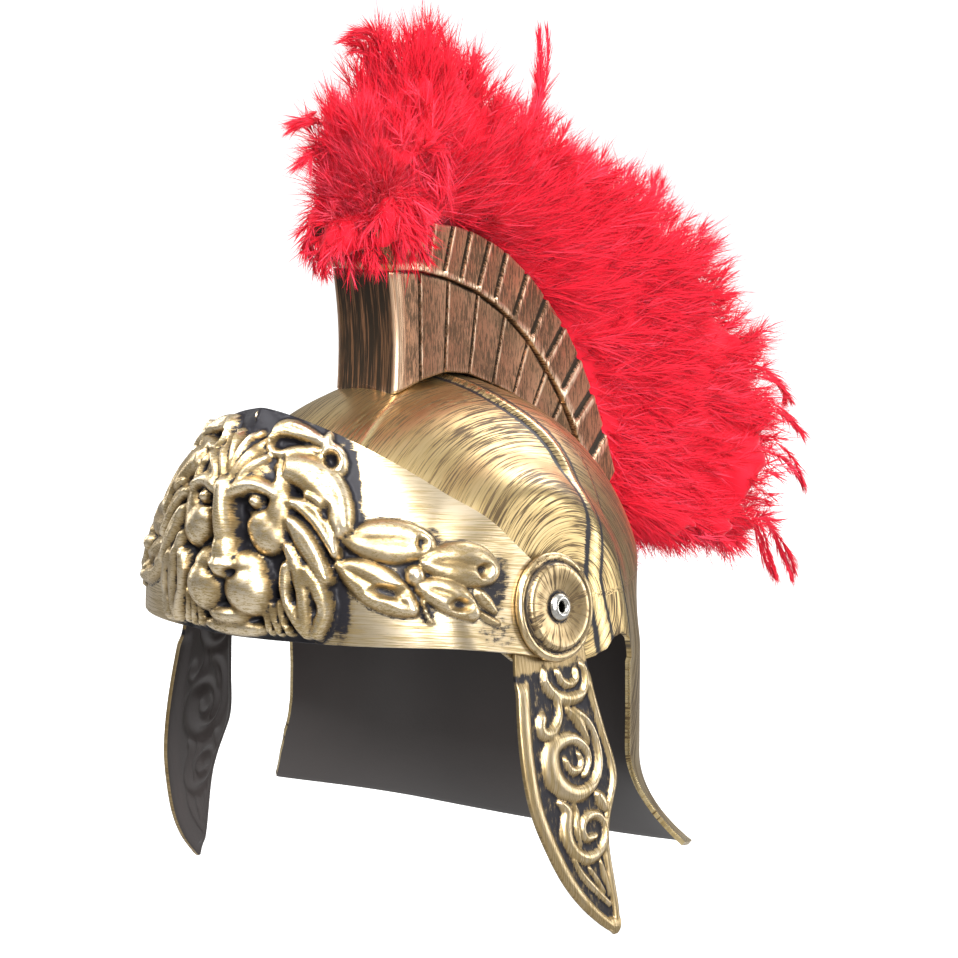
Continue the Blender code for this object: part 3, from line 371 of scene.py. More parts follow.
class Nodes:
    """Short hand for building the nodes of a material or the world."""

    def __init__(self, owner, shader="Principled BSDF"):
        owner.use_nodes = True
        self.owner = owner
        self.tree = owner.node_tree
        self.shader = self.tree.nodes[shader]

    def feed(self, node, inputs):
        """Give inputs, by name or number, a number, a tuple or another node's output."""
        for key, value in inputs.items():
            if isinstance(value, Value):
                self.tree.links.new(value.socket, node.inputs[key])
            else:
                node.inputs[key].default_value = value

    def paint(self, inputs):
        self.feed(self.shader, inputs)

    def add(self, kind, inputs=None, output=0, **values):
        """One output of a new node with these inputs and other values."""
        node = self.tree.nodes.new(kind)
        for key, value in values.items():
            setattr(node, key, value)
        self.feed(node, inputs or {})
        return Value(self, node.outputs[output])

    def attribute(self, name, output="Fac"):
        return self.add("ShaderNodeAttribute", output=output, attribute_name=name)

    def math(self, operation, first, second):
        return self.add("ShaderNodeMath", {0: first, 1: second}, operation=operation)

    def noise(self, vector, scale, detail, roughness):
        """Noise over a vector, which a scale of three numbers stretches."""
        if isinstance(scale, tuple):
            vector = self.add("ShaderNodeVectorMath", {0: vector, 1: scale}, operation="MULTIPLY")
            scale = 1.0
        return self.add("ShaderNodeTexNoise", {"Vector": vector, "Scale": scale, "Detail": detail,
                                               "Roughness": roughness}, "Fac")

    def steps(self, value, low, high):
        """0 below low to 1 above high, smoothly."""
        return self.add("ShaderNodeMapRange", {"Value": value, "From Min": low, "From Max": high},
                        "Result", interpolation_type="SMOOTHSTEP")

    def mix(self, factor, *colours):
        """A colour between two colours."""
        first, second = ((*c, 1.0) if isinstance(c, tuple) else c for c in colours)
        return self.add("ShaderNodeMix", {0: factor, 6: first, 7: second}, 2, data_type="RGBA")

    def bump(self, height, strength, distance):
        self.paint({"Normal": self.add("ShaderNodeBump", {"Height": height, "Strength": strength,
                                                          "Distance": distance})})


# Highlight colours: painted highlights where the highlight attribute is high; on the shell the
# bright one is also a random lighter tone
BRIGHT_GOLD = (0.86, 0.68, 0.37)
CREAM_GOLD = (0.90, 0.75, 0.50)
# Painted highlight colour of the crest, which turns cream under the crest's reddish tint
CREST_HIGHLIGHT = (0.94, 1.11, 0.67)
GOLD = (0.62, 0.455, 0.20)
OLD_GOLD = (0.32, 0.215, 0.085)
STREAK = (0.060, 0.036, 0.016)
# Colour of the hollows: patina in the relief, also painted shade beside the dome's ribs
PATINA_AND_SHADE = (0.014, 0.013, 0.017)
# Colour of the crest's hollows: dark specks and painted shade
BROWN_DIRT_AND_SHADE = (0.026, 0.017, 0.010)
FINE_STREAKS = 3.1
CLOUD_SCALE = (0.035, 0.035, 0.035)
SPECK_SCALE = (0.40, 0.22, 0.30)
BRIGHT_STEP = (0.36, 0.54)
HOLLOW_STEP = (0.30, 0.72)


def gold_material(name, tint=(1.0, 1.0, 1.0), streaks=0.5, streak_scale=(1.5, 0.035, 1.0),
                  slopes=0.35, roughness=0.30, blotches=0.0, crisp=(0.47, 0.58),
                  highlight=BRIGHT_GOLD, highlight_only=0.0, dirt_and_shade=PATINA_AND_SHADE):
    """Antique gold: painted highlights on high parts, brushed dark streaks along the grain, dark
    hollows.
    """
    n = Nodes(bpy.data.materials.new(name))
    bright, middle, old = (tuple(a * b for a, b in zip(colour, tint))
                           for colour in (highlight, GOLD, OLD_GOLD))
    grain = n.attribute("grain", "Vector")
    hollow = n.attribute("hollow")
    painted_highlight = n.attribute("painted_highlight")
    lines = n.noise(grain, streak_scale, 3.0, 0.6)
    fine = n.noise(grain, tuple(FINE_STREAKS * v for v in streak_scale), 2.0, 0.5)
    clouds = n.noise(grain, CLOUD_SCALE, 2.0, 0.5)
    specks = n.noise(grain, SPECK_SCALE, 4.0, 0.6)
    spread = 0.65 * lines + 0.35 * fine + 0.30 * (clouds - 0.5) - 0.06 * painted_highlight
    dark_lines = streaks * n.steps(spread, *crisp)
    # Painted highlight: the highlight colour shows where the highlight attribute is high
    dull = n.math("MAXIMUM", n.steps(spread, *BRIGHT_STEP), highlight_only * (1.0 - painted_highlight))
    gold = n.mix(dull, bright, middle)
    # Painted shade: away from the painted highlight the gold turns toward old gold, darkening the
    # flanks of raised forms
    gold = n.mix(slopes * (1.0 - painted_highlight), gold, old)
    gold = n.mix(dark_lines, gold, STREAK)
    # The hollow attribute: patina in the relief's hollows, painted shade beside the dome's ribs
    # and in the crest's grooves
    darkening = hollow + 0.9 * (fine - 0.5) + blotches * (specks - 0.5)
    in_hollow = n.steps(darkening, *HOLLOW_STEP)
    covered = n.math("MAXIMUM", in_hollow, dark_lines)
    n.paint({"Base Color": n.mix(in_hollow, gold, dirt_and_shade), "Metallic": 1.0 - 0.6 * covered,
             "Roughness": roughness + 0.16 * covered + 0.14 * (fine - 0.5) - 0.05 * painted_highlight,
             "Specular IOR Level": 0.3, "Coat Weight": 0.10, "Coat Roughness": 0.30})
    n.bump(spread - 0.3 * covered, 0.35, 0.0003)
    return n.owner


def inside_material():
    """Unpainted back of the moulded plastic: dark brown-black, satin."""
    n = Nodes(bpy.data.materials.new("dark_inside"))
    place_of = n.add("ShaderNodeTexCoord", output="Object")
    clouds = n.noise(place_of, 14.0, 3.0, 0.5)
    n.paint({"Base Color": n.mix(clouds, (0.036, 0.031, 0.030), (0.085, 0.070, 0.066)),
             "Roughness": 0.36 + 0.2 * clouds})
    n.bump(n.noise(place_of, 900.0, 2.0, 0.5), 0.2, 0.0002)
    return n.owner


def nickel_material():
    n = Nodes(bpy.data.materials.new("nickel"))
    clouds = n.noise(n.add("ShaderNodeTexCoord", output="Object"), 700.0, 3.0, 0.6)
    metal = n.mix(clouds, (0.75, 0.74, 0.70), (0.42, 0.40, 0.36))
    n.paint({"Base Color": n.mix(n.attribute("hollow"), metal, (0.05, 0.05, 0.04)),
             "Metallic": 1.0, "Roughness": 0.16 + 0.2 * clouds})
    return n.owner


def feather_material(name, deep, middle, pale):
    """Dyed down: from deep roots to pale, thin tips, with each barb its own shade."""
    n = Nodes(bpy.data.materials.new(name))
    colour = n.mix(n.steps(n.attribute("tip"), 0.0, 0.5), deep, middle)
    colour = n.mix(0.75 * n.steps(n.attribute("shade"), 0.45, 1.0), colour, pale)
    n.paint({"Base Color": colour, "Roughness": 0.75, "Specular IOR Level": 0.25,
             "Sheen Weight": 0.35, "Sheen Roughness": 0.4, "Sheen Tint": (1.0, 0.35, 0.42, 1.0)})
    return n.owner


# --- dome and neck guard --------------------------------------------------------------

SHELL_WALL = 2.2
SHELL_MIDDLE_Y = 32.0
DOME_TOP = 90.5
DOME_HALF_WIDTH = 96.0
DOME_WAIST_Z = -40.0
DOME_FRONT_REACH = 120.0
DOME_REAR_REACH = 118.0
DOME_EQUATOR_Z = -2.0
FRONT_FULLNESS = 2.3
REAR_FULLNESS = 1.82
FLARE_OUT = 19.0
FLARE_SIDE_SHARE = 1.4
FLARE_HEIGHT = 40.0
FLARE_REARWARD = (0.25, 0.85)
REAR_TUCK = 17.0
TUCK_TOP_Z = 12.0
TUCK_FOOT_Z = -25.0
NECK_TOP_Z = -32.0
NECK_WIDENING = 3.5
RIB_Y = 36.0
RIB_HALF_WIDTH = 4.0
RIB_RISE = 1.6
CROWN_SWEEP = (
    # z, degrees by which the ribs over the crown lie further back than straight up
    (-15, 0), (6, -1.1), (22.5, 1.6), (35.5, 4.3), (47, 7.3), (54, 9.3), (60, 10.6),
    (66, 10.8), (72, 9.4), (78, 6.6), (84, 3.9), (90.5, 0),
)
SWEEP_SHARE = (
    # degrees round the dome, share of the sweep
    (35, 0), (60, 0.45), (85, 0.95), (92, 1), (106, 1.3), (120, 1.25), (165, 0),
)
BAND_RISE = 0.8
BAND_END_Y = 56.0
BAND_EDGE = 1.5
FRONT_BAND_RISE = 0.9
FRONT_BAND_HALF = 13.0
FRONT_BAND_SPREAD = 0.21
FRONT_BAND_SPREAD_Y = 18.0
FRONT_BAND_FADE_Y = (20.0, 34.0)
RELIEF_FADE_Z = (-40.0, -20.0)
SHELL_EDGE = (
    # y, z of the dome's lower edge from the brow to the ear arch
    (-90, 8), (-70, 6), (-50, -2), (-33, -12), (-20, -22),
    (-8, -26), (10, -26.5), (28, -25.5), (36, -23.5), (42, -19.5),
    (48.5, -18.5), (55.5, -23), (59, -32), (64, -32),
)
NECK_SIDE = (
    # z, y of the ear arch's rear edge down to the corner of the neck guard
    (-32, 58.8), (-57, 59.5), (-78, 59), (-90, 60.5), (-100, 64.5),
    (-111.5, 71),
)
NECK_CORNER_Y = 71.0
NECK_CORNER_Z = -111.5
NECK_FALL = 0.37
NECK_FALL_START = 11.4
DOME_COLUMNS = (
    # degrees round from the brow; close together beside the raised rib
    0, 9, 18, 29, 41, 53, 62, 70, 77, 82, 86, 88.6, 90.6, 92.5, 94.6, 97.5, 101.3, 105.4,
    113, 123, 134, 146, 157, 168.5, 180,
)
DOME_PITCH = math.radians(1.7)
DOME_FINE_PITCH = math.radians(0.55)
DOME_BROW = math.radians(54.0)
DOME_RIB = (math.radians(80.0), math.radians(114.0))
NECK_FIRST_DEGREES = 105.4
DOME_ROW_SPREAD = 1.7
DOME_ROWS = 72
NECK_ROWS = 40
DARK_LINES = (
    # y, half width, darkness of the painted shade beside the ribs
    (RIB_Y - RIB_HALF_WIDTH - 1.4, 2.2, 1), (RIB_Y + RIB_HALF_WIDTH + 0.6, 1.4, 0.9),
    (BAND_END_Y + 0.7, 1.3, 0.85),
)
BRIGHT_LINES = (
    # y, half width, painted highlight on the ribs
    (RIB_Y, 2, 1), (BAND_END_Y - 1.5, 1.2, 0.8),
)
FRONT_BAND_LINES = (
    # out from the front band's edge, half width, share: its line of painted shade, then its
    # painted highlight
    (1.3, 0.8, 0.35), (-1, 1, 1),
)
FRONT_BAND_SIDE_FADE = (16.0, 24.0)
NECK_RIM_COLUMNS = 3
NECK_RIM_ROWS = 2
GRAIN_CENTRE_Y = 20.0
WELD = 0.00002
DOME_EDGE = {"width": 0.0007, "segments": 2, "limit_method": "ANGLE",
             "angle_limit": math.radians(55.0), "use_clamp_overlap": True}

PIVOT_X = 96.0
PIVOT_TILT = math.radians(9.1)
PIVOT_TOE = math.radians(8.6)
BROW_WALL = 2.0
GUARD_WALL = 1.8
ROSETTE_BASE = -2.2
BROW_FACE = ROSETTE_BASE - GAP
GUARD_FACE = BROW_FACE - BROW_WALL - GAP
DOME_FACE = GUARD_FACE - GUARD_WALL - GAP
FLAT_RADIUS = 44.0
FLAT_FADE = 72.0
PIVOT = np.array([PIVOT_X, 0.0, 0.0])
PIVOT_AXIS = np.array([
    math.cos(PIVOT_TILT) * math.cos(PIVOT_TOE),
    -math.cos(PIVOT_TILT) * math.sin(PIVOT_TOE),
    math.sin(PIVOT_TILT),
])
PIVOT_BACK = unit(np.cross((0.0, 0.0, 1.0), PIVOT_AXIS))
PIVOT_DOWN = unit(np.cross(PIVOT_BACK, PIVOT_AXIS))


def flatten_at_pivot(points, face):
    """Press wall points onto the planes that lie `face` along the rivets' axes."""
    side = np.where(points[..., 0:1] < 0.0, -1.0, 1.0) * np.array([1.0, 0.0, 0.0])
    side = side + np.array([0.0, 1.0, 1.0])
    away = points * side - PIVOT
    offset = away @ PIVOT_AXIS
    distance = np.linalg.norm(away - offset[..., None] * PIVOT_AXIS, axis=-1)
    push = (face - offset) * (1.0 - smoothstep(FLAT_RADIUS, FLAT_FADE, distance))
    return points + push[..., None] * PIVOT_AXIS * side


def dome_half_width(z):
    rise = np.clip((z - DOME_WAIST_Z) / (DOME_TOP - DOME_WAIST_Z), 0.0, 1.0)
    return (DOME_HALF_WIDTH * np.sqrt(1.0 - rise ** 2)
            + NECK_WIDENING * smoothstep(0.0, NECK_TOP_Z, z))


def dome_reach(z, front):
    """How far the dome reaches from its middle, to the front or to the back."""
    rise = np.clip((z - DOME_EQUATOR_Z) / (DOME_TOP - DOME_EQUATOR_Z), 0.0, 1.0)
    ahead = DOME_FRONT_REACH * (1.0 - rise ** FRONT_FULLNESS) ** (1.0 / FRONT_FULLNESS)
    behind = DOME_REAR_REACH * (1.0 - rise ** REAR_FULLNESS) ** (1.0 / REAR_FULLNESS)
    behind = behind - REAR_TUCK * smoothstep(TUCK_TOP_Z, TUCK_FOOT_Z, z)
    return np.where(front, ahead, behind)


def dome_plan(angle, z):
    forward = np.cos(angle)
    reach = dome_reach(z, forward > 0.0)
    return np.stack([dome_half_width(z) * np.sin(angle), SHELL_MIDDLE_Y - reach * forward,
                     z + 0.0 * angle], axis=-1)


def dome_height(x, y):
    """Height of the smooth dome above a plan point."""
    low, high = DOME_EQUATOR_Z, DOME_TOP
    for _ in range(40):
        z = 0.5 * (low + high)
        reach = float(dome_reach(z, y < SHELL_MIDDLE_Y))
        inside = (x / dome_half_width(z)) ** 2 + ((y - SHELL_MIDDLE_Y) / reach) ** 2 < 1.0
        low, high = (z, high) if inside else (low, z)
    return low


def front_band_half(y):
    """Half width of the raised band over the brow, which widens to the front."""
    return FRONT_BAND_HALF + FRONT_BAND_SPREAD * np.maximum(0.0, FRONT_BAND_SPREAD_Y - y)


def dome_relief(points):
    x, y = np.abs(points[..., 0]), points[..., 1]
    rib = np.maximum(0.0, 1.0 - ((y - RIB_Y) / RIB_HALF_WIDTH) ** 2) * RIB_RISE
    behind = smoothstep(RIB_Y, RIB_Y + BAND_EDGE, y)
    behind = behind * (1.0 - smoothstep(BAND_END_Y - BAND_EDGE, BAND_END_Y, y))
    half = front_band_half(y)
    front = 1.0 - smoothstep(half - BAND_EDGE, half + BAND_EDGE, x)
    front = front * (1.0 - smoothstep(*FRONT_BAND_FADE_Y, y))
    return np.maximum(rib, np.maximum(BAND_RISE * behind, FRONT_BAND_RISE * front))


def dome_shading(points):
    """Painted shade beside the ribs and painted highlights on them."""
    x, y, z = np.abs(points[..., 0]), points[..., 1], points[..., 2]
    fade = smoothstep(*RELIEF_FADE_Z, z)
    side = 1.0 - smoothstep(*FRONT_BAND_SIDE_FADE, y)
    edge = front_band_half(y)
    shades = []
    for lines, (out, half, share) in zip((DARK_LINES, BRIGHT_LINES), FRONT_BAND_LINES):
        shade = [line_share * bell(y, *line) for *line, line_share in lines]
        shades.append(fade * np.maximum.reduce(shade + [share * side * bell(x, edge + out, half)]))
    return shades


def crown_sweep(angle, z):
    """How far a column of the dome leans back, so that the ribs on it bow to the rear."""
    return np.radians(table_value(CROWN_SWEEP, z) * table_value(SWEEP_SHARE, np.degrees(angle)))


def dome_columns():
    """The column angles, filled in between so that the ribs come out crisp."""
    stops = np.radians(DOME_COLUMNS)
    steps = [stops[:1]]
    for low, high in zip(stops, stops[1:]):
        fine = DOME_RIB[0] < high < DOME_RIB[1] or high < DOME_BROW
        count = max(1, int(round((high - low) / (DOME_FINE_PITCH if fine else DOME_PITCH))))
        steps.append(np.linspace(low, high, count + 1)[1:])
    return np.concatenate(steps)


def circle_grain(points):
    """Streaks that run in circles about the ear-to-ear axis."""
    x, y, z = points[..., 0], points[..., 1] - GRAIN_CENTRE_Y, points[..., 2]
    reach = np.hypot(y, z)
    return vectors(100.0 * np.arctan2(reach, x), reach * np.arctan2(z, -y), 0.1 * reach)


def shell_edge_z(angle):
    y = SHELL_MIDDLE_Y - DOME_FRONT_REACH * np.maximum(0.0, np.cos(angle))
    y = y - (DOME_REAR_REACH - REAR_TUCK) * np.minimum(0.0, np.cos(angle))
    return table_value(SHELL_EDGE, y)


def neck_grid(shares, depths):
    """Neck guard points: rows down to the flared edge, columns from the ear arch to the back."""
    depth, share = np.meshgrid(depths, shares, indexing="ij")
    side_z = NECK_TOP_Z + (NECK_CORNER_Z - NECK_TOP_Z) * depth
    side_y = table_value(sorted(NECK_SIDE), side_z)
    first = np.arccos((SHELL_MIDDLE_Y - side_y) / (DOME_REAR_REACH - REAR_TUCK))
    angle = first + (math.pi - first) * share
    base = dome_plan(angle, NECK_TOP_Z)
    fall = np.maximum(0.0, base[..., 1] + NECK_FALL_START - NECK_CORNER_Y)
    rear_low = NECK_CORNER_Z - NECK_FALL * fall
    z = NECK_TOP_Z + (rear_low - NECK_TOP_Z) * depth
    flare = FLARE_OUT * np.maximum(0.0, 1.0 - (z - rear_low) / FLARE_HEIGHT) ** 2
    rearward = np.maximum(0.0, -np.cos(angle))
    return vectors(base[..., 0] + flare * FLARE_SIDE_SHARE * np.sin(angle),
                   base[..., 1] + flare * smoothstep(*FLARE_REARWARD, rearward), z)


def make_dome(finish, inside):
    angles = dome_columns()
    shares = (np.arange(DOME_ROWS + 1) / DOME_ROWS) ** DOME_ROW_SPREAD
    z = DOME_TOP + (shell_edge_z(angles) - DOME_TOP) * shares[:, None]
    angle = np.broadcast_to(angles, z.shape)
    straight = dome_plan(angle, z)
    smooth = dome_plan(angle + crown_sweep(angle, z), z)
    outward = unit(vectors(smooth[..., 0] / DOME_HALF_WIDTH,
                           (smooth[..., 1] - SHELL_MIDDLE_Y) / DOME_REAR_REACH,
                           np.maximum(0.0, z - DOME_EQUATOR_Z) / DOME_TOP))
    lift = dome_relief(straight) * smoothstep(*RELIEF_FADE_Z, z)
    dome = flatten_at_pivot(smooth + outward * lift[..., None], DOME_FACE)
    first = int(np.argmin(np.abs(angles - math.radians(NECK_FIRST_DEGREES))))
    neck = neck_grid((angles[first:] - angles[first]) / (math.pi - angles[first]),
                     np.linspace(0.0, 1.0, NECK_ROWS + 1)[1:])
    columns = len(angles)
    base = len(shares) * columns
    top = base - columns + np.arange(first, columns)
    low = base + np.arange(neck.shape[1])
    faces = np.vstack([grid_faces(len(shares), columns),
                       grid_faces(NECK_ROWS, neck.shape[1], base),
                       vectors(top[:-1], top[1:], low[1:], low[:-1])])
    half = np.vstack([dome.reshape(-1, 3), neck.reshape(-1, 3)])
    points = np.vstack([half, half * (-1.0, 1.0, 1.0)])
    faces = np.vstack([faces, faces[:, ::-1] + len(half)])
    hollow, painted_highlight = dome_shading(straight)
    neck_highlight = np.zeros(neck.shape[:2])
    # Painted highlight along the neck guard's edges
    neck_highlight[:, :NECK_RIM_COLUMNS] = neck_highlight[-NECK_RIM_ROWS:] = 1.0
    attributes = {label: np.tile(np.concatenate([on_dome.ravel(), on_neck.ravel()]), 2)
                  for label, on_dome, on_neck in (("hollow", hollow, 0.0 * neck_highlight),
                                                  ("painted_highlight", painted_highlight, neck_highlight))}
    attributes["grain"] = circle_grain(points)
    shell = new_mesh("dome_skin", points, faces, [finish, inside], attributes)
    weld(shell.data, WELD)
    modify(shell, ("SOLIDIFY", {"thickness": SHELL_WALL * MM, "offset": -1.0,
                                "use_even_offset": True, "material_offset": 1,
                                "material_offset_rim": 0}), ("BEVEL", DOME_EDGE))
    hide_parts("dome_shell")
    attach(shell, "root")


# --- cast relief ----------------------------------------------------------------------
# Relief is a height over the plain wall. On the brow band s runs round from the middle
# of the brow and t up from the foot, the same on both sides.

LION_GROUND = {
    # s, t, half width, half height, rise: the broad form that the rest stands on
    "mask": (0, 45, 46, 53, 7),
    "forehead": (0, 64, 24, 22, 4.5),
}
LION_MOUNDS = {
    # s, t, half width, half height, rise over the ground
    "muzzle": (8.8, 22, 10.4, 12.5, 13),
    "upper muzzle": (8, 30.5, 8.5, 8.5, 10),
    "lower lip": (0, 10.5, 10, 4.8, 10.5),
    "chin": (0, 5, 15, 4.6, 7.5),
    "nose pad": (0, 31, 7.6, 6, 15),
    "nose": (0, 37, 6.2, 12, 13.2),
    "cheek": (17, 46, 9.2, 10.2, 8.6),
    "forehead": (10, 71, 11.5, 11, 5.6),
    "ear": (43, 77, 7.6, 8.2, 7),
}
LION_LOCKS = {
    # s, t of start, bend and end; half width at each; rise over the ground; depth of a groove
    "bridge of the nose": (0, 63, 0, 46, 0, 30, 4.6, 5, 6, 12, 0),
    "temple": (22.5, 69, 24, 60, 19.5, 45, 2.4, 5.4, 6.5, 7.4, 0),
    "brow": (3, 60, 11, 67, 21.5, 61.5, 3.2, 4.8, 3, 9.2, 0),
    "lower lid": (8, 54.5, 12.5, 51, 18, 55.5, 1.2, 1.9, 1.4, 5.6, 0),
    "inner furrow": (2, 62, 3, 70, 9.5, 77.5, 2, 3, 1.8, 7.4, 0),
    "outer furrow": (6.2, 65.5, 9.5, 71.5, 17, 75.5, 2, 2.8, 1.8, 8, 0),
    "middle furrow": (0.8, 68, 0.6, 76, 6.5, 84, 1.8, 2.8, 1.6, 6.6, 0),
    "forelock": (1.5, 77, 3, 82.5, 10, 85.5, 1.8, 2.6, 1.6, 4.2, 0.6),
    "side forelock": (8, 77, 11.5, 80.5, 15, 83.5, 1.6, 2.4, 1.4, 4.4, 0),
    "top lock": (18, 85, 21, 93, 38.5, 84.5, 2.4, 4.4, 3.4, 6.8, 1.2),
    "tuft": (16.5, 84, 15.5, 77, 24, 77.5, 2, 2.6, 2.6, 6.8, 0),
    "tuft rear": (24, 78, 30, 79.5, 36.5, 80.5, 3, 3.4, 2.2, 6.8, 0.8),
    "ear tip": (41, 80, 41.5, 84, 43.5, 88, 3.6, 2.8, 1.2, 6.5, 0),
    "upper lobe": (25.5, 72, 41.5, 73.5, 47, 50.5, 6.4, 9.4, 4.6, 9.2, 0.9),
    "upper lobe edge": (33, 62, 41, 60, 45.5, 47, 1.8, 2.6, 2, 8.6, 0),
    "side lobe": (27.5, 58.5, 38.5, 57, 43.5, 39, 3, 4.6, 2.6, 8.2, 1.6),
    "jaw lobe": (27, 51, 32.5, 44, 40, 28.5, 3.4, 5.2, 3, 8.4, 1),
    "inner lobe": (25.5, 41, 27, 35, 33, 27, 2.6, 3.6, 2.8, 7.4, 0.6),
    "beard lobe front": (24.5, 33, 21.5, 19, 30.5, 4.5, 2.8, 3.4, 2.8, 7.4, 0),
    "beard lobe middle": (28.5, 34, 31, 22, 31, 7, 3, 3.8, 2.6, 7.8, 0.8),
    "beard lobe rear": (32.5, 32, 41.5, 19, 34.5, 5, 3, 4.2, 3.2, 8, 0.8),
    "beard inner": (15, 14, 14.2, 9, 16, 3.5, 1.6, 1.8, 1.2, 5.2, 0),
    "beard middle": (17.8, 16.5, 17.6, 10, 19.6, 3.6, 1.5, 1.9, 1.4, 5.6, 0),
    "beard outer": (20.8, 18, 20.6, 11, 23.4, 4, 1.4, 1.8, 1.4, 5.8, 0),
}
LION_HOLLOWS = {
    # s, t, half width, half height, depth
    "eye socket": (8, 54.5, 5, 4.2, 4),
    "eye rim": (13.6, 58.2, 5.6, 5, 3.4),
    "nostril": (4, 29, 2.6, 2.4, 4),
    "tuft hollow": (20.5, 82.2, 3, 3.2, 5.5),
    "ear hollow": (43.2, 77, 3.6, 3.9, 7.5),
    "lobe hollow": (40.4, 55.6, 2.2, 4.2, 3.2),
    "lobe root": (23.5, 73, 1.6, 4.6, 3),
    "beard hollow front": (26.6, 21, 1.5, 5.5, 3.6),
    "beard hollow rear": (34.6, 16, 1.4, 4.6, 3.4),
}
LION_EYE = (13.2, 57.8, 3.5, 3.4, 7.4)
FLOWER_LOCKS = {
    # s, t of start, bend and end; half width at each; rise; depth of a groove
    "long upper leaf": (47.5, 45, 65, 46, 81.5, 44.5, 3.2, 9.4, 5, 4.6, 1.5),
    "long lower leaf": (44, 34.5, 60, 27, 76, 17, 2.4, 9.6, 3.2, 4.4, 1.9),
    "short upper leaf": (80, 36.5, 96, 39, 113, 34.5, 1.8, 9.2, 5.6, 4.2, 1.5),
    "short lower leaf": (79, 26.5, 92, 25.5, 105.5, 16.5, 2.6, 7.6, 3.8, 4, 1.2),
    "small leaf": (108, 25.5, 113, 23, 119, 18, 2, 3.2, 1.4, 2.8, 0),
    "last leaf": (110, 17, 116, 14, 122, 13, 1.2, 2, 1.2, 1.6, 0),
    "leaf foot": (80.5, 21, 81.5, 15, 84.5, 11.5, 0.9, 1.1, 0.8, 2.6, 0),
}
FLOWER_HOLLOWS = {
    "rolled tip": (79.2, 44.6, 2.3, 3.4, 3.2),
    "lower leaf hollow": (65, 24.2, 10.5, 3.6, 3.4),
    "upper leaf hollow": (108.5, 35, 4.2, 3.8, 3.6),
    "short leaf hollow": (97.5, 19.6, 6.6, 3.4, 3.6),
}
FLOWER_BEAD = (76.9, 31.6, 4.7, 4.7, 5.4)
BROW_STUD = (0.0, 93.0, 2.6, 2.4, 2.2)
BROW_STAINS = {
    # s, t, half width, half height, how dark the paint is: where it was left in the corners
    "over the mane": (12, 96, 34, 14, 1), "over the ear": (42, 88, 12, 8, 0.9),
    "behind the mane": (51, 68, 5, 25, 1), "between leaf and mane": (44, 20, 5.5, 22, 0.9),
    "over the tip": (84, 47, 6, 6, 0.7), "between the leaves": (76, 31.6, 8, 7, 0.8),
    "under the flower": (82, 16, 5, 6, 0.8), "flower's end": (118, 28, 9, 16, 0.8),
    "low corner": (122, 9, 17, 9, 0.42), "foot of the mask": (8, 0, 34, 4.5, 1),
}
LOCK_STEPS = 14
GROOVE_HALF = 0.24
GROOVE_ENDS = (0.4, 2.4)
STAIN_FADE = (0.45, 1.25)
NEAR_BLUR = 1.3
WIDE_BLUR = 3.4
AROUND_BLUR = 1.6
RAISED = 0.35


def mound(s, t, at_s, at_t, half_s, half_t, rise, edge=0.5):
    """An oval rise: a dome at an edge of 0.5, a cone's slope at 1."""
    inside = 1.0 - ((s - at_s) / half_s) ** 2 - ((t - at_t) / half_t) ** 2
    return rise * np.maximum(inside, 0.0) ** edge


def ridge(s, t, line, halves, rise, edge=0.5, groove=0.0):
    """A raised moulding along a line of points, rounded across, its half width set along it."""
    height = np.zeros_like(s)
    nearest = np.full_like(s, np.inf)
    for start, end, half_start, half_end in zip(line, line[1:], halves, halves[1:]):
        step = end - start
        along = ((s - start[0]) * step[0] + (t - start[1]) * step[1]) / (step @ step)
        along = np.clip(along, 0.0, 1.0)
        away = np.hypot(s - start[0] - along * step[0], t - start[1] - along * step[1])
        away = away / (half_start + along * (half_end - half_start))
        nearest = np.minimum(nearest, away)
        height = np.maximum(height, rise * np.maximum(1.0 - away ** 2, 0.0) ** edge)
    if groove > 0.0:
        ends = 0.5 * (halves[0] + halves[-1])
        from_end = np.minimum(*(np.hypot(s - end[0], t - end[1]) for end in (line[0], line[-1])))
        height = height - groove * bell(nearest, 0.0, GROOVE_HALF) \
            * smoothstep(*(ends * share for share in GROOVE_ENDS), from_end) * (height > 0.0)
    return height


def lock(s, t, s0, t0, s1, t1, s2, t2, first, middle, last, rise, groove):
    """A ridge along a curve from a start by way of a bend to an end."""
    shares = np.linspace(0.0, 1.0, LOCK_STEPS)[:, None]
    line = ((1.0 - shares) ** 2 * (s0, t0) + 2.0 * shares * (1.0 - shares) * (s1, t1)
            + shares ** 2 * (s2, t2))
    u = shares[:, 0]
    halves = (first * (1.0 - u) * (1.0 - 2.0 * u) + middle * 4.0 * u * (1.0 - u)
              + last * u * (2.0 * u - 1.0))
    return ridge(s, t, line, halves, rise, 0.5, groove)


def highest(s, t, mounds, locks):
    """Greatest height of some mounds and locks."""
    return np.maximum.reduce([np.zeros_like(s)]
                             + [mound(s, t, *where) for where in mounds.values()]
                             + [lock(s, t, *where) for where in locks.values()])


def hollowed(height, s, t, hollows):
    return height - sum(mound(s, t, *where, 1.0) for where in hollows.values())


def brow_relief(s, t):
    """Broad ground of the lion mask, then the height of its details and of the flowers over it."""
    side = np.abs(s)
    ground = sum(mound(side, t, *where, 0.8) for where in LION_GROUND.values())
    lion = hollowed(highest(side, t, LION_MOUNDS, LION_LOCKS), side, t, LION_HOLLOWS)
    flower = hollowed(highest(side, t, {}, FLOWER_LOCKS), side, t, FLOWER_HOLLOWS)
    beads = [mound(side, t, *bead) for bead in (LION_EYE, FLOWER_BEAD, BROW_STUD)]
    return ground, np.maximum.reduce([lion, flower] + beads)


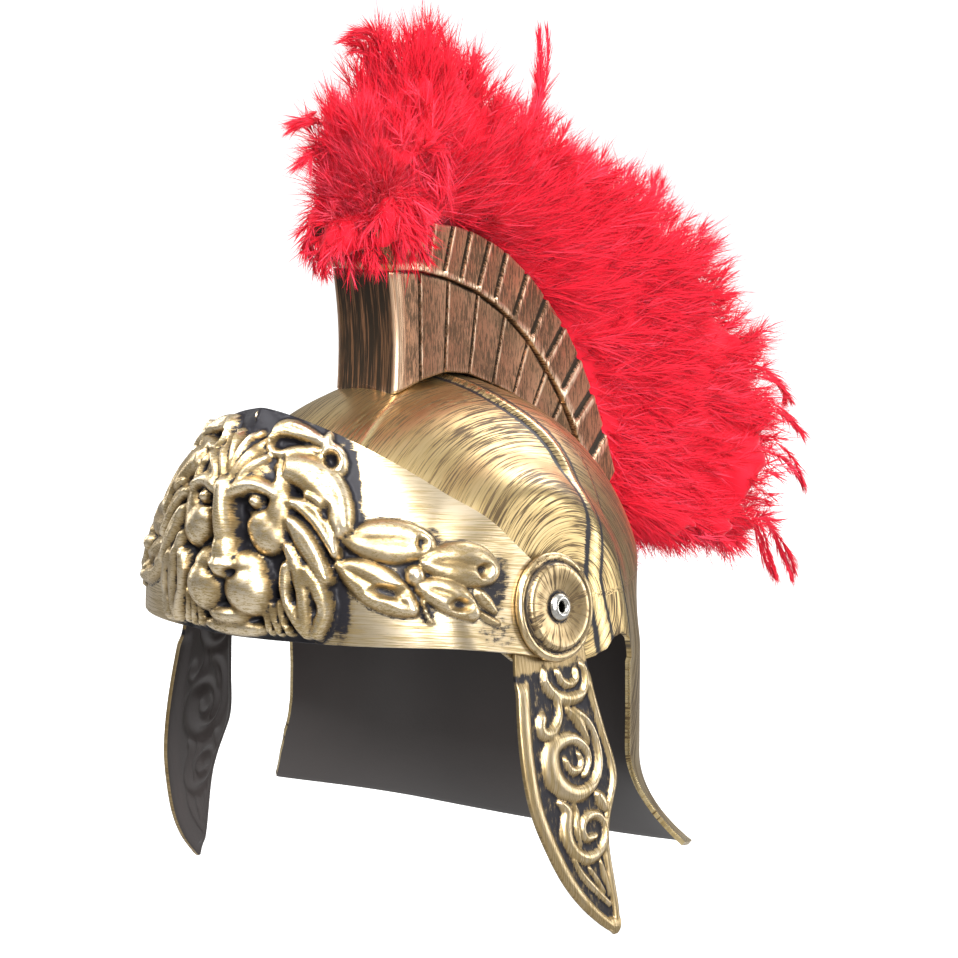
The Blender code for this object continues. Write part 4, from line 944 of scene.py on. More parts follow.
def stained(s, t, stains):
    """How much dark paint was left at a place, 0 to 1."""
    dark = np.zeros_like(s)
    for at_s, at_t, half_s, half_t, depth in stains.values():
        away = np.hypot((s - at_s) / half_s, (t - at_t) / half_t)
        dark = np.maximum(dark, depth * (1.0 - smoothstep(*STAIN_FADE, away)))
    return dark


def relief_shading(height, pitch):
    """Dark hollows and painted highlights on the tops of a relief grid."""
    near = blurred(height, pitch, NEAR_BLUR)
    wide = blurred(height, pitch, WIDE_BLUR)
    around = blurred((height > RAISED).astype(float), pitch, AROUND_BLUR)
    narrow_hollow = np.clip((near - height) / 1.1, 0.0, 1.0)
    wide_hollow = np.clip((wide - height - 0.25) / 2.0, 0.0, 1.0)
    ground = np.clip(around * 1.9, 0.0, 1.0) * (1.0 - np.clip(height / 0.8, 0.0, 1.0))
    # Painted highlight on the tops of the relief
    painted_highlight = np.clip((height - wide + 0.5) / 1.8, 0.0, 1.0)
    return np.maximum.reduce([narrow_hollow, wide_hollow, ground]), painted_highlight


# --- brow band ------------------------------------------------------------------------

BROW_FOOT = (97.0, 94.0, 2.4)
BROW_TOP = (90.5, 79.5, 1.55)
BROW_BULGE = 2.2
BROW_FOOT_Z = -8.0
BROW_FOOT_SAG = 0.0017
BROW_FOOT_LOWEST = -19.5
BROW_TOP_Z = 87.0
BROW_TOP_FALL = 0.93
BROW_END_ANGLE = math.radians(96.0)
BROW_COLUMNS = 341
BROW_ROWS = 121
BROW_ARC_STEPS = 600
BROW_SOFTNESS = 0.55
MASK_RISE = 2.0
MASK_GROUND_RISE = 1.2
PLAIN_RISE = 0.3
PLAIN_DIRT = 0.08
STAINED_RISE = (0.5, 2.5)


def brow_plan(angle, half, front, power):
    """The band's x and y at one height, by its half width, reach to the front and fullness."""
    def powered(value):
        return np.copysign(np.abs(value) ** (2.0 / power), value)

    return half * powered(np.sin(angle)), -front * powered(np.cos(angle))


def brow_wall(angle, share):
    """Plain outer face of the brow band: round from the brow, up from its foot."""
    foot_x, foot_y = brow_plan(angle, *BROW_FOOT)
    top_x, top_y = brow_plan(angle, *BROW_TOP)
    foot_z = np.maximum(BROW_FOOT_Z - BROW_FOOT_SAG * (foot_y + BROW_FOOT[1]) ** 2,
                        BROW_FOOT_LOWEST)
    top_z = BROW_TOP_Z - BROW_TOP_FALL * (top_y + BROW_TOP[1])
    bulge = share ** BROW_BULGE
    point = vectors(foot_x + (top_x - foot_x) * bulge, foot_y + (top_y - foot_y) * bulge,
                    foot_z + (top_z - foot_z) * share)
    return flatten_at_pivot(point, BROW_FACE)


def make_brow_band(finish, inside):
    fine = np.linspace(0.0, BROW_END_ANGLE, BROW_ARC_STEPS)
    middle = brow_wall(fine, np.full_like(fine, 0.5))
    reach = np.concatenate([[0.0], np.cumsum(np.linalg.norm(np.diff(middle, axis=0), axis=1))])
    stops = np.linspace(-reach[-1], reach[-1], BROW_COLUMNS)
    angles = np.sign(stops) * np.interp(np.abs(stops), reach, fine)
    angle, share = np.meshgrid(angles, np.linspace(0.0, 1.0, BROW_ROWS))
    wall = brow_wall(angle, share)
    lengths = np.linalg.norm(wall[-1] - wall[0], axis=1)
    s = np.broadcast_to(stops, share.shape)
    t = share * lengths
    pitch = (lengths[BROW_COLUMNS // 2] / (BROW_ROWS - 1), 2.0 * reach[-1] / (BROW_COLUMNS - 1))
    ground, detail = brow_relief(s, t)
    detail = blurred(detail, pitch, BROW_SOFTNESS)
    height = np.maximum(ground + detail, 0.0)
    hollow, painted_highlight = relief_shading(detail, pitch)
    in_mask = np.clip(ground / MASK_RISE, 0.0, 1.0)
    mask_ground = 0.9 * in_mask * (1.0 - np.clip(detail / MASK_GROUND_RISE, 0.0, 1.0))
    stain = stained(np.abs(s), t, BROW_STAINS)
    stain = stain * (1.0 - 0.9 * smoothstep(*STAINED_RISE, detail))
    plain = (1.0 - in_mask) * (detail < PLAIN_RISE)
    hollow = np.maximum.reduce([hollow, mask_ground, stain, PLAIN_DIRT * plain])
    # Painted highlight over the plain parts of the band
    painted_highlight = np.maximum(painted_highlight, 0.9 * plain * (1.0 - stain))
    normal = grid_normals(wall)
    grain = vectors(t, s, 0.5 * s * np.clip(detail / 1.5, 0.0, 1.0))
    band = sheet_of_two("brow_cast", wall + normal * height[..., None], wall - normal * BROW_WALL,
                        [finish, inside], {"hollow": hollow, "painted_highlight": painted_highlight, "grain": grain})
    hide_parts("brow_band")
    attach(band, "root")


# --- cheek guards ---------------------------------------------------------------------

GUARD_OUTLINE = (
    # down, front edge, rear edge, all from the rivet
    (-19, -6, 6), (-15, -13, 13), (-8, -18.5, 18.5), (0, -21.5, 20.5),
    (9, -22.4, 19.7), (19, -23.9, 19.5), (29, -25, 20.2), (38, -26.1, 21.2),
    (48, -27.1, 23.4), (58, -27.6, 25.8), (67, -27.5, 28.4), (74, -27, 29.8),
    (80, -26.2, 29.4), (87, -24.6, 26.2), (94, -22.2, 22.8), (102, -18.8, 20.5),
    (110, -15, 20), (118, -10.4, 20.5), (126, -4.4, 21.1), (133, 2.2, 21.5),
    (139, 9.2, 21.2), (143, 14.6, 20.2), (145, 17.2, 18.8),
)
GUARD_RIM_FADE = (28.0, 34.0)
GUARD_SCROLL_FADE = (24.0, 27.5)
GUARD_FULLNESS = 1.2
GUARD_END = 145.0
GUARD_RIMS = (
    # width of the rim and its rise, in front and behind
    (7.6, 2), (3.6, 1.7),
)
GUARD_ROWS = 201
GUARD_COLUMNS = 71
GUARD_PITCH = (164.0 / GUARD_ROWS, 50.0 / GUARD_COLUMNS)
GUARD_SOFTNESS = 0.45
GUARD_BACK_SOFTNESS = 0.8
GUARD_BACK_SHARE = 0.85
GUARD_FIELD_RISE = 0.7
GUARD_FIELD_DIRT = 0.78
GUARD_SCROLLS = {
    # rise, then back, down and half width at each section along the moulding
    "top scroll": (2.2, (
        (-7.2, 25.2, 1.2), (-8.3, 29.7, 1.6), (-4.3, 36, 2.1), (4.3, 40.4, 2.4),
        (13.6, 39.6, 1.9), (17.2, 34.4, 1.5), (16.8, 28.6, 1.3), (13.6, 24.1, 1.2))),
    "top hook": (2, (
        (0.2, 27.7, 1.2), (2.6, 32.3, 1.5), (7, 34.4, 1.6), (11.5, 32.5, 1.4), (11.7, 28.6, 1.1))),
    "hooked scroll": (2.2, (
        (-9.5, 30.5, 1), (-5.6, 34, 1.3), (-2.3, 39.1, 1.6), (-1.4, 44.2, 1.8),
        (-2.9, 49.2, 2), (-7.3, 53.2, 2.4), (-12, 53, 2.4), (-14.1, 49.4, 2.3),
        (-12.6, 46.6, 2.6))),
    "great scroll": (2.6, (
        (7.8, 45.2, 0.8), (14.6, 50.9, 1.4), (18.4, 57.9, 1.6), (20, 66, 1.7),
        (18.8, 73.6, 1.8), (13.4, 79.6, 2.3), (4.3, 81.6, 3.1), (-4, 78.2, 3.9),
        (-9.2, 72, 4.7), (-10.4, 64.8, 4.9), (-7.6, 59.6, 3.8), (-0.6, 57.4, 2.6),
        (6.6, 58.2, 2), (12.2, 63, 1.6), (13, 69.1, 1.3), (9.6, 74.3, 0.9))),
    "great scroll eye": (2, (
        (-1.2, 65.6, 0.9), (1.4, 70.4, 1.6), (6.2, 71.6, 1.5), (9, 68, 1.1), (7.2, 64, 0.7))),
    "leaf": (1.9, (
        (3.6, 44.6, 1.2), (9.6, 50.2, 2.2), (13.4, 57.6, 1.6), (14.6, 61.6, 0.6))),
    "bud": (2.2, ((16.4, 83.6, 1.4), (18.9, 86.9, 2.6), (20, 90.4, 1.4))),
    "low scroll stem": (2.2, (
        (-7.8, 83, 0.8), (-3.4, 88, 2.8), (-5, 94, 3.2), (-4.6, 100.6, 3),
        (-0.3, 106.8, 2.6), (7, 110, 2.3), (14.2, 108, 1.9), (18.2, 103, 1.5),
        (18.8, 97.2, 1.3), (15.2, 92.4, 1.5), (8.4, 92.4, 1.9), (4.4, 96.6, 1.8),
        (6.6, 101.2, 1.5), (12.4, 101.2, 1))),
    "low leaf": (1.7, ((0.6, 84.6, 0.9), (2.4, 89.6, 1.3), (1, 96, 1.5), (2.6, 103.6, 0.8))),
    "tail line": (1.5, (
        (-2.9, 109, 0.9), (2.2, 117, 1.5), (10, 125.4, 1.5), (16.6, 131.8, 1))),
    "tail strand": (1.4, ((6.3, 114.2, 0.7), (10.1, 119.8, 1.2), (14, 126, 0.8))),
    "rear strand": (1.4, ((13.8, 112.6, 0.7), (15.6, 119.6, 1.2), (17.2, 127.6, 0.9))),
}


def guard_relief(back, down, front, rear):
    """Rims along both edges and the scrolls between them."""
    height = np.zeros_like(back)
    for rise, rows in GUARD_SCROLLS.values():
        line = smooth_curve(rows, 5 * len(rows))
        halves = GUARD_FULLNESS * line[:, 2]
        height = np.maximum(height, ridge(back, down, line[:, :2], halves, rise, 0.6))
    height = height * smoothstep(*GUARD_SCROLL_FADE, down)
    from_end = np.maximum(GUARD_END - down, 0.0)
    for inward, (width, rise) in zip((back - front, rear - back), GUARD_RIMS):
        share = np.clip(np.minimum(inward, from_end) / width, 0.0, 1.0)
        rim = rise * np.sqrt(np.maximum(0.0, 1.0 - (2.0 * share - 0.9) ** 2 / 1.21))
        rim = rim * (share < 1.0) * smoothstep(*GUARD_RIM_FADE, down)
        height = np.maximum(height, rim)
    return height


def guard_places(back, down, offset, side):
    points = (PIVOT + back[..., None] * PIVOT_BACK + down[..., None] * PIVOT_DOWN
              + offset[..., None] * PIVOT_AXIS)
    return points * (side, 1.0, 1.0)


def make_cheek_guard(word, side, finish, inside):
    outline = smooth_curve(GUARD_OUTLINE, GUARD_ROWS)
    down, front, rear = (outline[:, k:k + 1] for k in range(3))
    back = front + (rear - front) * np.linspace(0.0, 1.0, GUARD_COLUMNS)
    down = np.broadcast_to(down, back.shape)
    height = blurred(guard_relief(back, down, front, rear), GUARD_PITCH, GUARD_SOFTNESS)
    pressed = GUARD_BACK_SHARE * blurred(height, GUARD_PITCH, GUARD_BACK_SOFTNESS)
    # Patina in the guard's hollows and painted highlights on its scrolls and rims
    hollow, painted_highlight = relief_shading(height, GUARD_PITCH)
    field = 1.0 - np.clip(height / GUARD_FIELD_RISE, 0.0, 1.0)
    field = field * smoothstep(*GUARD_SCROLL_FADE, down)
    hollow = np.maximum(hollow, GUARD_FIELD_DIRT * field)
    outer = guard_places(back, down, GUARD_FACE + height, side)
    inner = guard_places(back, down, GUARD_FACE - GUARD_WALL + pressed, side)
    grids = (outer, inner, hollow, painted_highlight, vectors(back, down, 0.0))
    if side > 0.0:
        grids = (grid[:, ::-1] for grid in grids)
    outer, inner, hollow, painted_highlight, grain = grids
    sheet = sheet_of_two(f"guard_cast_{word}", outer, inner, [finish, inside],
                         {"hollow": hollow, "painted_highlight": painted_highlight, "grain": grain})
    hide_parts(f"cheek_guard_{word}")
    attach(sheet, f"cheek_{word}")


# --- rosettes and rivets --------------------------------------------------------------

ROSETTE_PROFILE = (
    # radius, height above the rosette's base, hollow, painted highlight
    (3, 3.6, 0.9, 0), (4.6, 3.7, 0.9, 0), (6.8, 3.5, 0.7, 0), (7.8, 3.6, 0.3, 0.2),
    (9.6, 3.9, 0.15, 0.5), (12.6, 4.4, 0.25, 0.1), (15.6, 4.8, 0.2, 0.5), (17.2, 4.9, 0, 0.9),
    (18.2, 4.6, 0.2, 0.6), (18.9, 3.4, 0.55, 0), (19.6, 2.4, 0.7, 0), (20.3, 2.4, 0.5, 0),
    (21.2, 2.8, 0.1, 0.8), (22.4, 2.6, 0, 1), (23.3, 1.8, 0, 1), (23.6, 1, 0, 1),
    (23.5, 0.3, 0.2, 0.4), (22.8, 0, 0.5, 0), (3, 0, 0.5, 0),
)
RIVET_SEAT = ROSETTE_BASE + 3.9 + GAP
DOME_INNER = DOME_FACE - SHELL_WALL - GAP
RIVET_HEAD = (
    # radius, height above the rivet's seat
    (0, -2.6), (1.7, -2.6), (2.1, -0.6), (2.3, 0.9), (2.8, 1.7), (3.5, 2.05), (4.3, 1.9),
    (5.1, 1.35), (5.8, 0.6), (6, 0.05), (2.6, 0),
)
RIVET_TAIL = (
    # radius, height above the inside of the dome
    (2.6, 0), (5, 0), (5, -1), (0, -1),
)
RIVET_BORE_SHADES = (1.0, 1.0, 1.0, 0.5)
RIVET_STEPS = 48
ROSETTE_STEPS = 96
SUNBURST = (7.0, 19.0)
ROUND_WELD = 0.000005


def turned(name, profile, side, steps, finish, attributes, closed):
    """A profile of (radius, height) rows turned about the rivet's axis."""
    mirror = (side, 1.0, 1.0)
    axis = PIVOT_AXIS * mirror
    first = unit(np.cross(axis, (0.0, 0.0, 1.0)))
    second = np.cross(axis, first)
    profile = np.asarray(profile, dtype=float)
    turn = np.linspace(0.0, 2.0 * math.pi, steps, endpoint=False)
    around = np.cos(turn)[:, None] * first + np.sin(turn)[:, None] * second
    points = PIVOT * mirror + profile[:, None, 0:1] * around + profile[:, None, 1:2] * axis
    index = numbered(len(profile), steps)
    faces = grid_faces(len(profile), steps, closed=True)
    if closed:
        last, start = index[-1], index[0]
        ends = vectors(last, np.roll(last, -1), np.roll(start, -1), start)
        faces = np.vstack([faces, ends])
    radius = np.repeat(profile[:, 0], steps)
    a = np.tile(turn, len(profile))
    rays = vectors(14.0 * np.sin(a) + 9.0 * np.sin(2.0 * a + 1.0), radius, 14.0 * np.cos(a))
    circles = vectors(radius, 10.0 * np.sin(a), 10.0 * np.cos(a))
    in_sunburst = (radius > SUNBURST[0]) & (radius < SUNBURST[1])
    values = {label: np.repeat(column, steps) for label, column in attributes.items()}
    values["grain"] = np.where(in_sunburst[:, None], rays, circles)
    item = new_mesh(name, points.reshape(-1, 3), faces, [finish], values, smooth_angle=50.0)
    weld(item.data, ROUND_WELD)
    return item


def make_rosette(word, side, finish):
    table = np.array(ROSETTE_PROFILE)
    rosette = turned(f"rosette_cast_{word}", table[:, :2] + (0.0, ROSETTE_BASE), side,
                     ROSETTE_STEPS, finish, {"hollow": table[:, 2], "painted_highlight": table[:, 3]}, True)
    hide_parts(f"rosette_{word}")
    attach(rosette, "root")


def make_rivet(word, side, finish):
    rows = [(radius, RIVET_SEAT + height) for radius, height in RIVET_HEAD]
    rows += [(radius, DOME_INNER + height) for radius, height in RIVET_TAIL]
    shade = np.zeros(len(rows))
    shade[:len(RIVET_BORE_SHADES)] = RIVET_BORE_SHADES
    rivet = turned(f"eyelet_{word}", rows, side, RIVET_STEPS, finish, {"hollow": shade}, False)
    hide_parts(f"rivet_{word}")
    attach(rivet, "root")


# --- crest ----------------------------------------------------------------------------

HOLDER_HALF = 16.7
CREST_CROWN_CLEARANCE = 0.4
LINE_GAP = 0.3
GROOVE_WIDTH = 1.6
GROOVE_DEPTH = 1.2
SLOT_WIDTH = 2.6
SLOT_DEPTH = 1.6
CREST_RIBS = (
    # grooves of the holder: y on the line below the rail, y at the dome
    (9.9, 10.6), (31.4, 28.7), (54, 47.5), (75.3, 66.2), (93.8, 82.7), (108.6, 98.2),
    (121.5, 112.3), (132.5, 125), (141.5, 136),
)
CREST_LINE = (
    # y, z of the line between holder and rail
    (-12, 140.6), (-6.4, 140.5), (8.9, 139), (27.8, 134.8), (50.7, 127.3), (70.5, 117.6),
    (89, 104.9), (104, 90.8), (117.4, 75.8), (128.4, 60.7), (138, 43.6), (144.5, 28),
    (149, 14),
)
CREST_CLEARANCE = (
    # y, height of the holder's lower edge above the dome
    (-12, 1.7), (-2, 1.7), (6, 2.4), (16, 3.6), (34, 4.2), (48, 2.8), (62, 0.8),
    (80, 0.6), (150, 0.6),
)
RAIL_TOP = (
    # y, z of the rail's top edge
    (-24.5, 159), (-9, 160.5), (8, 160.5), (24.2, 158.8), (37.5, 156.6), (51, 152.8),
    (64.7, 147.4), (76.6, 141.5), (86.6, 135.1), (96.8, 128), (106, 119.8), (115.4, 111),
    (125.9, 100.7), (134.4, 89.4), (142, 78.1), (149.6, 65.4), (156.2, 52.8), (162.9, 38.8),
    (168.6, 23.7),
)
RAIL_LEAN = (
    # y on the crest line, y of the same rib on the top edge
    (-12, -24.5), (-4, -10), (3, 5), (12, 17.5), (25, 32.5), (37.5, 45.5),
    (51, 60.5), (64, 73.5), (79, 90.5), (93, 106), (105, 121), (118.5, 134),
    (129, 145.5), (140.5, 156), (149.5, 166.5),
)
RAIL_SLOTS = (12.0, 25.0, 37.5, 51.0, 64.0, 79.0, 93.0, 105.0, 118.5, 129.0, 140.5)
HOLDER_NOSE = (
    # y on the line below the rail, y at the dome, half width, bow backward, painted highlight
    (-10.8, -8, 0.004, 2.4, 0), (-10.8, -8, 4, 2.4, 0), (-10.8, -8, 8, 2.4, 0),
    (-10.8, -8, 11, 2.4, 0), (-10.8, -8, 13, 2.4, 0), (-10.8, -8, 13.7, 2.4, 0),
    (-9.8, -7.2, 15.8, 2.4, 1), (-7.6, -5.2, HOLDER_HALF, 2.2, 1),
    (-2, 0, HOLDER_HALF, 1.2, 0),
)
HOLDER_FRONT_COUNT = 8
HOLDER_GROOVE = (
    # place across a groove in its widths, share of its depth, painted highlight, how far the side
    # stands out
    (-0.9, 0, 0.3, 0), (-0.5, 0.15, 0, 0), (-0.38, 1, 0, 0), (0.38, 1, 0, 0),
    (0.55, 0, 1, 0.25), (1.1, 0, 0.9, 0.25), (1.5, 0, 0.1, 0),
)
HOLDER_END = (147.0, 140.5)
RAIL_NOSE = (
    # y on the line, half width
    (-12, 0.004), (-12, 8), (-12, 13), (-12, 17.3), (-11.6, 18.2), (-10.5, 18.9),
    (-4, 18.9), (6, 18.9),
)
RAIL_FRONT_COUNT = 4
RAIL_HALF = 18.9
RAIL_LEDGE = 3.2
RAIL_SLOT = (
    # as for the holder's groove
    (-0.75, 0, 0.2, 0), (-0.5, 0.15, 0, 0), (-0.4, 1, 0, 0), (0.3, 1, 0, 0),
    (0.46, 0, 1, 0.35), (0.95, 0, 0.9, 0.35), (1.2, 0, 0.1, 0),
)
RAIL_END = 148.5
HEIGHT_SHARES = (0.0, 0.008, 0.03, 0.07, 0.12, 0.2, 0.3, 0.4, 0.5, 0.6, 0.7, 0.8, 0.88, 0.93,
                 0.97, 0.992, 1.0)
TOP_SHARES = (0.8, 0.5, 0.0, -0.5, -0.8)
CREST_CORNER = 0.5
LEDGE_START = 0.55
# Width of the painted highlight on the ledge's face
LEDGE_FACE = 2.7
# Width of the dark line under the rail's ledge, along the joint: painted shade
SHADED_JOINT_WIDTH = 0.6
# Painted shade over the crest's front face
FRONT_PAINTED_SHADE = 0.68
SIDE_DULL = 0.20
# Width of the painted highlight along the crest's edges
CREST_EDGE = 2.2
# Painted shade in the grooves
GROOVE_PAINTED_SHADE = 1.3
GROOVE_MOUTH = 0.2
FULL_RIB = 0.8
CREST_WELD = 0.00001


def crest_foot(y, x):
    if x == 0.0:
        return dome_height(0.0, y) + BAND_RISE + RIB_RISE + CREST_CROWN_CLEARANCE
    return dome_height(x, y) + table_value(CREST_CLEARANCE, y)


def crest_ring(low, high, crown_z, half, bow, groove, ledge):
    """One section of the crest between its low and high (y, z) places, with rounded corners."""
    low, high = np.array(low), np.array(high)
    corner = min(CREST_CORNER, 0.9 * half)
    length = np.linalg.norm(high - low)
    side, shades = [], []
    for share in HEIGHT_SHARES:
        from_end = min(share, 1.0 - share) * length
        inset = corner * (1.0 - math.sqrt(1.0 - (1.0 - min(1.0, from_end / corner)) ** 2))
        depth = groove * smoothstep(LEDGE_START * ledge, ledge, share * length) if ledge \
            else groove
        y, z = low + (high - low) * share
        side.append((half - inset - depth, y + bow * math.sin(math.pi * share), z))
        # Painted highlight along the face of the rail's ledge
        ledge_face = ledge > 0.0 and share < 0.5 and from_end < LEDGE_FACE
        # Painted shade in a dark line on the holder under the rail's ledge
        shaded_joint = ledge == 0.0 and share > 0.5 and from_end < SHADED_JOINT_WIDTH
        shades.append((depth, from_end, ledge_face, shaded_joint))
    rise = max(0.0, crown_z - low[1])
    top = [(x * (half - corner), high[0], high[1]) for x in TOP_SHARES]
    left = [(-x, y, z) for x, y, z in reversed(side)]
    bottom = [(x * (half - corner), low[0], low[1] + rise * (1.0 - abs(x)))
              for x in reversed(TOP_SHARES)]
    flat = [(0.0, 9.0, False, False)] * len(TOP_SHARES)
    return side + top + left + bottom, shades + flat + shades[::-1] + flat


def crest_piece(name, stations, finish, node, front_count):
    """Loft through stations of (ring, shades, painted highlight)."""
    rings = np.array([ring for ring, *rest in stations])
    count, steps = rings.shape[:2]
    faces = list(grid_faces(count, steps, closed=True))
    faces.append(list(range((count - 1) * steps, count * steps)))
    hollow, painted_highlight = [], []
    for number, (ring, shades, rib) in enumerate(stations):
        # Painted shade over the front face; dark specks on the sides
        dull = FRONT_PAINTED_SHADE if number < front_count else SIDE_DULL
        for depth, from_end, ledge_face, shaded_joint in shades:
            raised = depth < GROOVE_MOUTH
            # Painted highlight on the ledge's face and on the raised ribs beside the grooves
            bright = ledge_face or rib > FULL_RIB and raised
            # Painted shade in the grooves and under the rail's ledge
            dirt_and_shade = max(dull, min(1.0, GROOVE_PAINTED_SHADE * depth))
            hollow.append(0.0 if bright else 1.0 if shaded_joint else dirt_and_shade)
            # Painted highlight along the crest's edges
            edge = max(0.0, 1.0 - from_end / CREST_EDGE)
            painted_highlight.append(1.0 if ledge_face else max(rib if raised else 0.0, edge))
    points = rings.reshape(-1, 3)
    x, y, z = points.T
    front = np.arange(len(points)) < front_count * steps
    grain = vectors(np.where(front, 1.3 * x, 1.5 * y), np.where(front, 0.12 * z, 1.4 * z), 0.3 * x)
    item = new_mesh(name, points, faces, [finish],
                    {"hollow": hollow, "painted_highlight": painted_highlight, "grain": grain}, smooth_angle=55.0)
    weld(item.data, CREST_WELD)
    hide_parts(node)
    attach(item, "root")


def make_crest_holder(finish):
    def section(top_y, foot_y, half, bow=0.0, rib=0.0, groove=0.0):
        edge = crest_foot(foot_y, HOLDER_HALF)
        crown = max(edge, crest_foot(foot_y, 0.0))
        high = (top_y, table_value(CREST_LINE, top_y) - LINE_GAP)
        return (*crest_ring((foot_y, edge), high, crown, half, bow, groove, 0.0), rib)

    stations = [section(*row) for row in HOLDER_NOSE]
    for top_y, foot_y in CREST_RIBS:
        for shift, depth, rib, out in HOLDER_GROOVE:
            shift = shift * GROOVE_WIDTH
            stations.append(section(top_y + shift, foot_y + shift, HOLDER_HALF + out, 0.0, rib,
                                    depth * GROOVE_DEPTH))
    stations.append(section(*HOLDER_END, HOLDER_HALF))
    crest_piece("holder_cast", stations, finish, "crest_holder", HOLDER_FRONT_COUNT)


def make_crest_rail(finish):
    def section(line_y, half, rib=0.0, groove=0.0):
        top_y = table_value(RAIL_LEAN, line_y)
        high = (top_y, table_value(RAIL_TOP, top_y))
        line_z = table_value(CREST_LINE, line_y) + LINE_GAP
        return (*crest_ring((line_y, line_z), high, line_z, half, 0.0, groove, RAIL_LEDGE), rib)

    stations = [section(*row) for row in RAIL_NOSE]
    stations += [section(line_y + shift * SLOT_WIDTH, RAIL_HALF + out, rib, depth * SLOT_DEPTH)
                 for line_y in RAIL_SLOTS for shift, depth, rib, out in RAIL_SLOT]
    stations.append(section(RAIL_END, RAIL_HALF))
    crest_piece("rail_cast", stations, finish, "crest_rail", RAIL_FRONT_COUNT)


# --- plume ----------------------------------------------------------------------------

PLUME_ROWS = (
    # root y, z on the rail, then tip y, z, and sideways reach of the tips
    (-14, 158, -18, 166, 8), (-12, 160, -25, 190, 8),
    (-6, 162, -27, 214, 11), (6, 163, -16, 240, 16),
    (18, 162, 4, 254, 20), (30, 161, 38, 252, 24),
    (42, 158, 62, 238, 29), (54, 153, 86, 218, 30),
    (66, 147, 120, 214, 31), (77, 140, 148, 202, 32),
    (88, 133, 178, 187, 33), (99, 124, 205, 174, 34),
    (109, 115, 232, 158, 35), (118, 106, 258, 140, 36),
    (127, 97, 284, 118, 36), (136, 86, 306, 93, 36),
    (144, 74, 326, 67, 36), (151, 61, 338, 39, 35),
    (157, 50, 342, 12, 34), (162, 40, 338, -10, 32),
    (167, 30, 318, -26, 30), (170, 22, 284, -26, 28),
    (172, 15, 246, -20, 26),
)
PLUME_STEPS = 133
CORE_VOXEL = 3.5
CORE_SMOOTHING = {"factor": 0.6, "iterations": 10}
CORE_SECOND_VOXEL = 4.0
CORE_DEPTH = 8.0
CORE_SINK = 7.6
CORE_SINK_SHARE = (0.05, 0.20)
CORE_SINK_ROWS = (1.0, 2.0)
CORE_SHARE = 0.80
CORE_OUT = (0.1, 0.5)
CORE_COLOUR = {"tip": 0.3, "shade": 0.25}
FAN_CENTRE = np.array([0.0, 40.0, 30.0])
FUZZ_SEED = 17
FUZZ_TUFTS = 1460
FRONT_FUZZ_TUFTS = 90
FRONT_FUZZ_TOP = 178.0
FUZZ_BARBS = 24
FUZZ_FULLNESS = (0.5, 0.75)
FUZZ_SHADE = (0.1, 0.7)
TUFT_SHADE = (0.2, 0.8)
WISP_SHADE = 0.5
FRONT_FOOT_Y = 8.0
FRONT_FOOT_Z = 190.0
FRONT_FOOT_SIZE = (
    # z, size of the fuzz there
    (158, 0.58), (182, 0.88),
)
HANGING = (0.25, 0.15, -0.95)
# how far a tuft of fuzz goes out from the surface, along the fan and astray
FUZZ_BEND = (3.5, 4.0, 1.0)
FUZZ_END = (5.5, 11.0, 2.0)
PLUME_SEED = 41
ROW_STRAY = 0.3
QUILL_FOOT_ACROSS = 0.82
QUILL_FOOT_LEAST = 0.03
TIP_STRAY = (1.8, 3.0, 3.0)
TIP_OUT = (-2.0, 5.0)
BEND_STRAY = 2.5
BEND_OUT = 2.0
FOOT_ROWS = 1.4
FOOT_DOWN = 0.55
FEATHER_FULLNESS = (0.8, 1.15)
FEATHER_SHADE = (0.25, 0.6)
# Front feathers paler: partly pinker down, partly painted light that brightens the plume's front
FRONT_SHADE = 0.32
PLUME_ROOT_HALF = 11.0
PLUME_SIDE_SHORTENING = 0.16
PLUME_OPENING = 0.6
PLUME_TAPER = 0.35
PLUME_TAPER_SHARES = (0.75, 1.1)
PLUME_LEAN = (
    # row, how far its feathers lean towards the left cheek
    (0, 3), (2, 4), (3, 6), (4.5, 7), (7, 0),
)
CORE_NARROWING = (
    # row, share of its width that the dense middle keeps
    (0, 0.75), (4.5, 0.75), (6.5, 1),
)
PLUME_GROUPS = (
    # name, feathers, least and most of the fan's length, least distance across, first and last row
    ("sides low", 230, 0.14, 0.40, 0.72, 0, 22),
    ("sides middle", 300, 0.36, 0.68, 0.60, 0, 22),
    ("sides high", 280, 0.60, 0.88, 0.35, 0, 22),
    ("outer edge", 300, 0.82, 0.93, 0, 0, 22),
    ("front", 110, 0.30, 0.90, 0, 0, 2.5),
    ("rear underside", 90, 0.30, 0.92, 0, 20, 22),
)
FEATHER_LENGTH = (34.0, 52.0)
BARBS = 98
BARB_CROWDING = 1.25
BARB_OPENING = (20.0, 62.0)
BARB_LENGTH = (10.0, 20.0)
BARB_CURL = 0.35
BARB_STRAY = 0.22
BARB_DROOP = 0.10
BARB_TILT = 0.55
BARB_WIDTH = 0.54
BARB_WIDTHS = (0.7, 1.25)
BARB_TAPER = 0.55
BARB_STEPS = 2
SHADE_STRAY = 0.14
PLUME_EDGE = (
    # row, how far the down reaches there as a share of the fan: it parts in a few notches
    (0, 0.60), (1.1, 0.76), (1.7, 1.02), (2.2, 0.96), (2.5, 0.60), (3.3, 0.60), (3.7, 0.90),
    (4.2, 0.97), (5.2, 0.94), (5.8, 0.88), (6.6, 0.86), (7.4, 0.86), (8, 0.85), (8.5, 0.80),
    (9.5, 0.81), (10.4, 0.86), (11, 0.93), (12.2, 0.96), (17.3, 0.97), (18.3, 0.68), (19.1, 0.70),
    (19.7, 0.98), (20.1, 1.02), (20.6, 0.78), (21.2, 0.71), (22, 0.61),
)
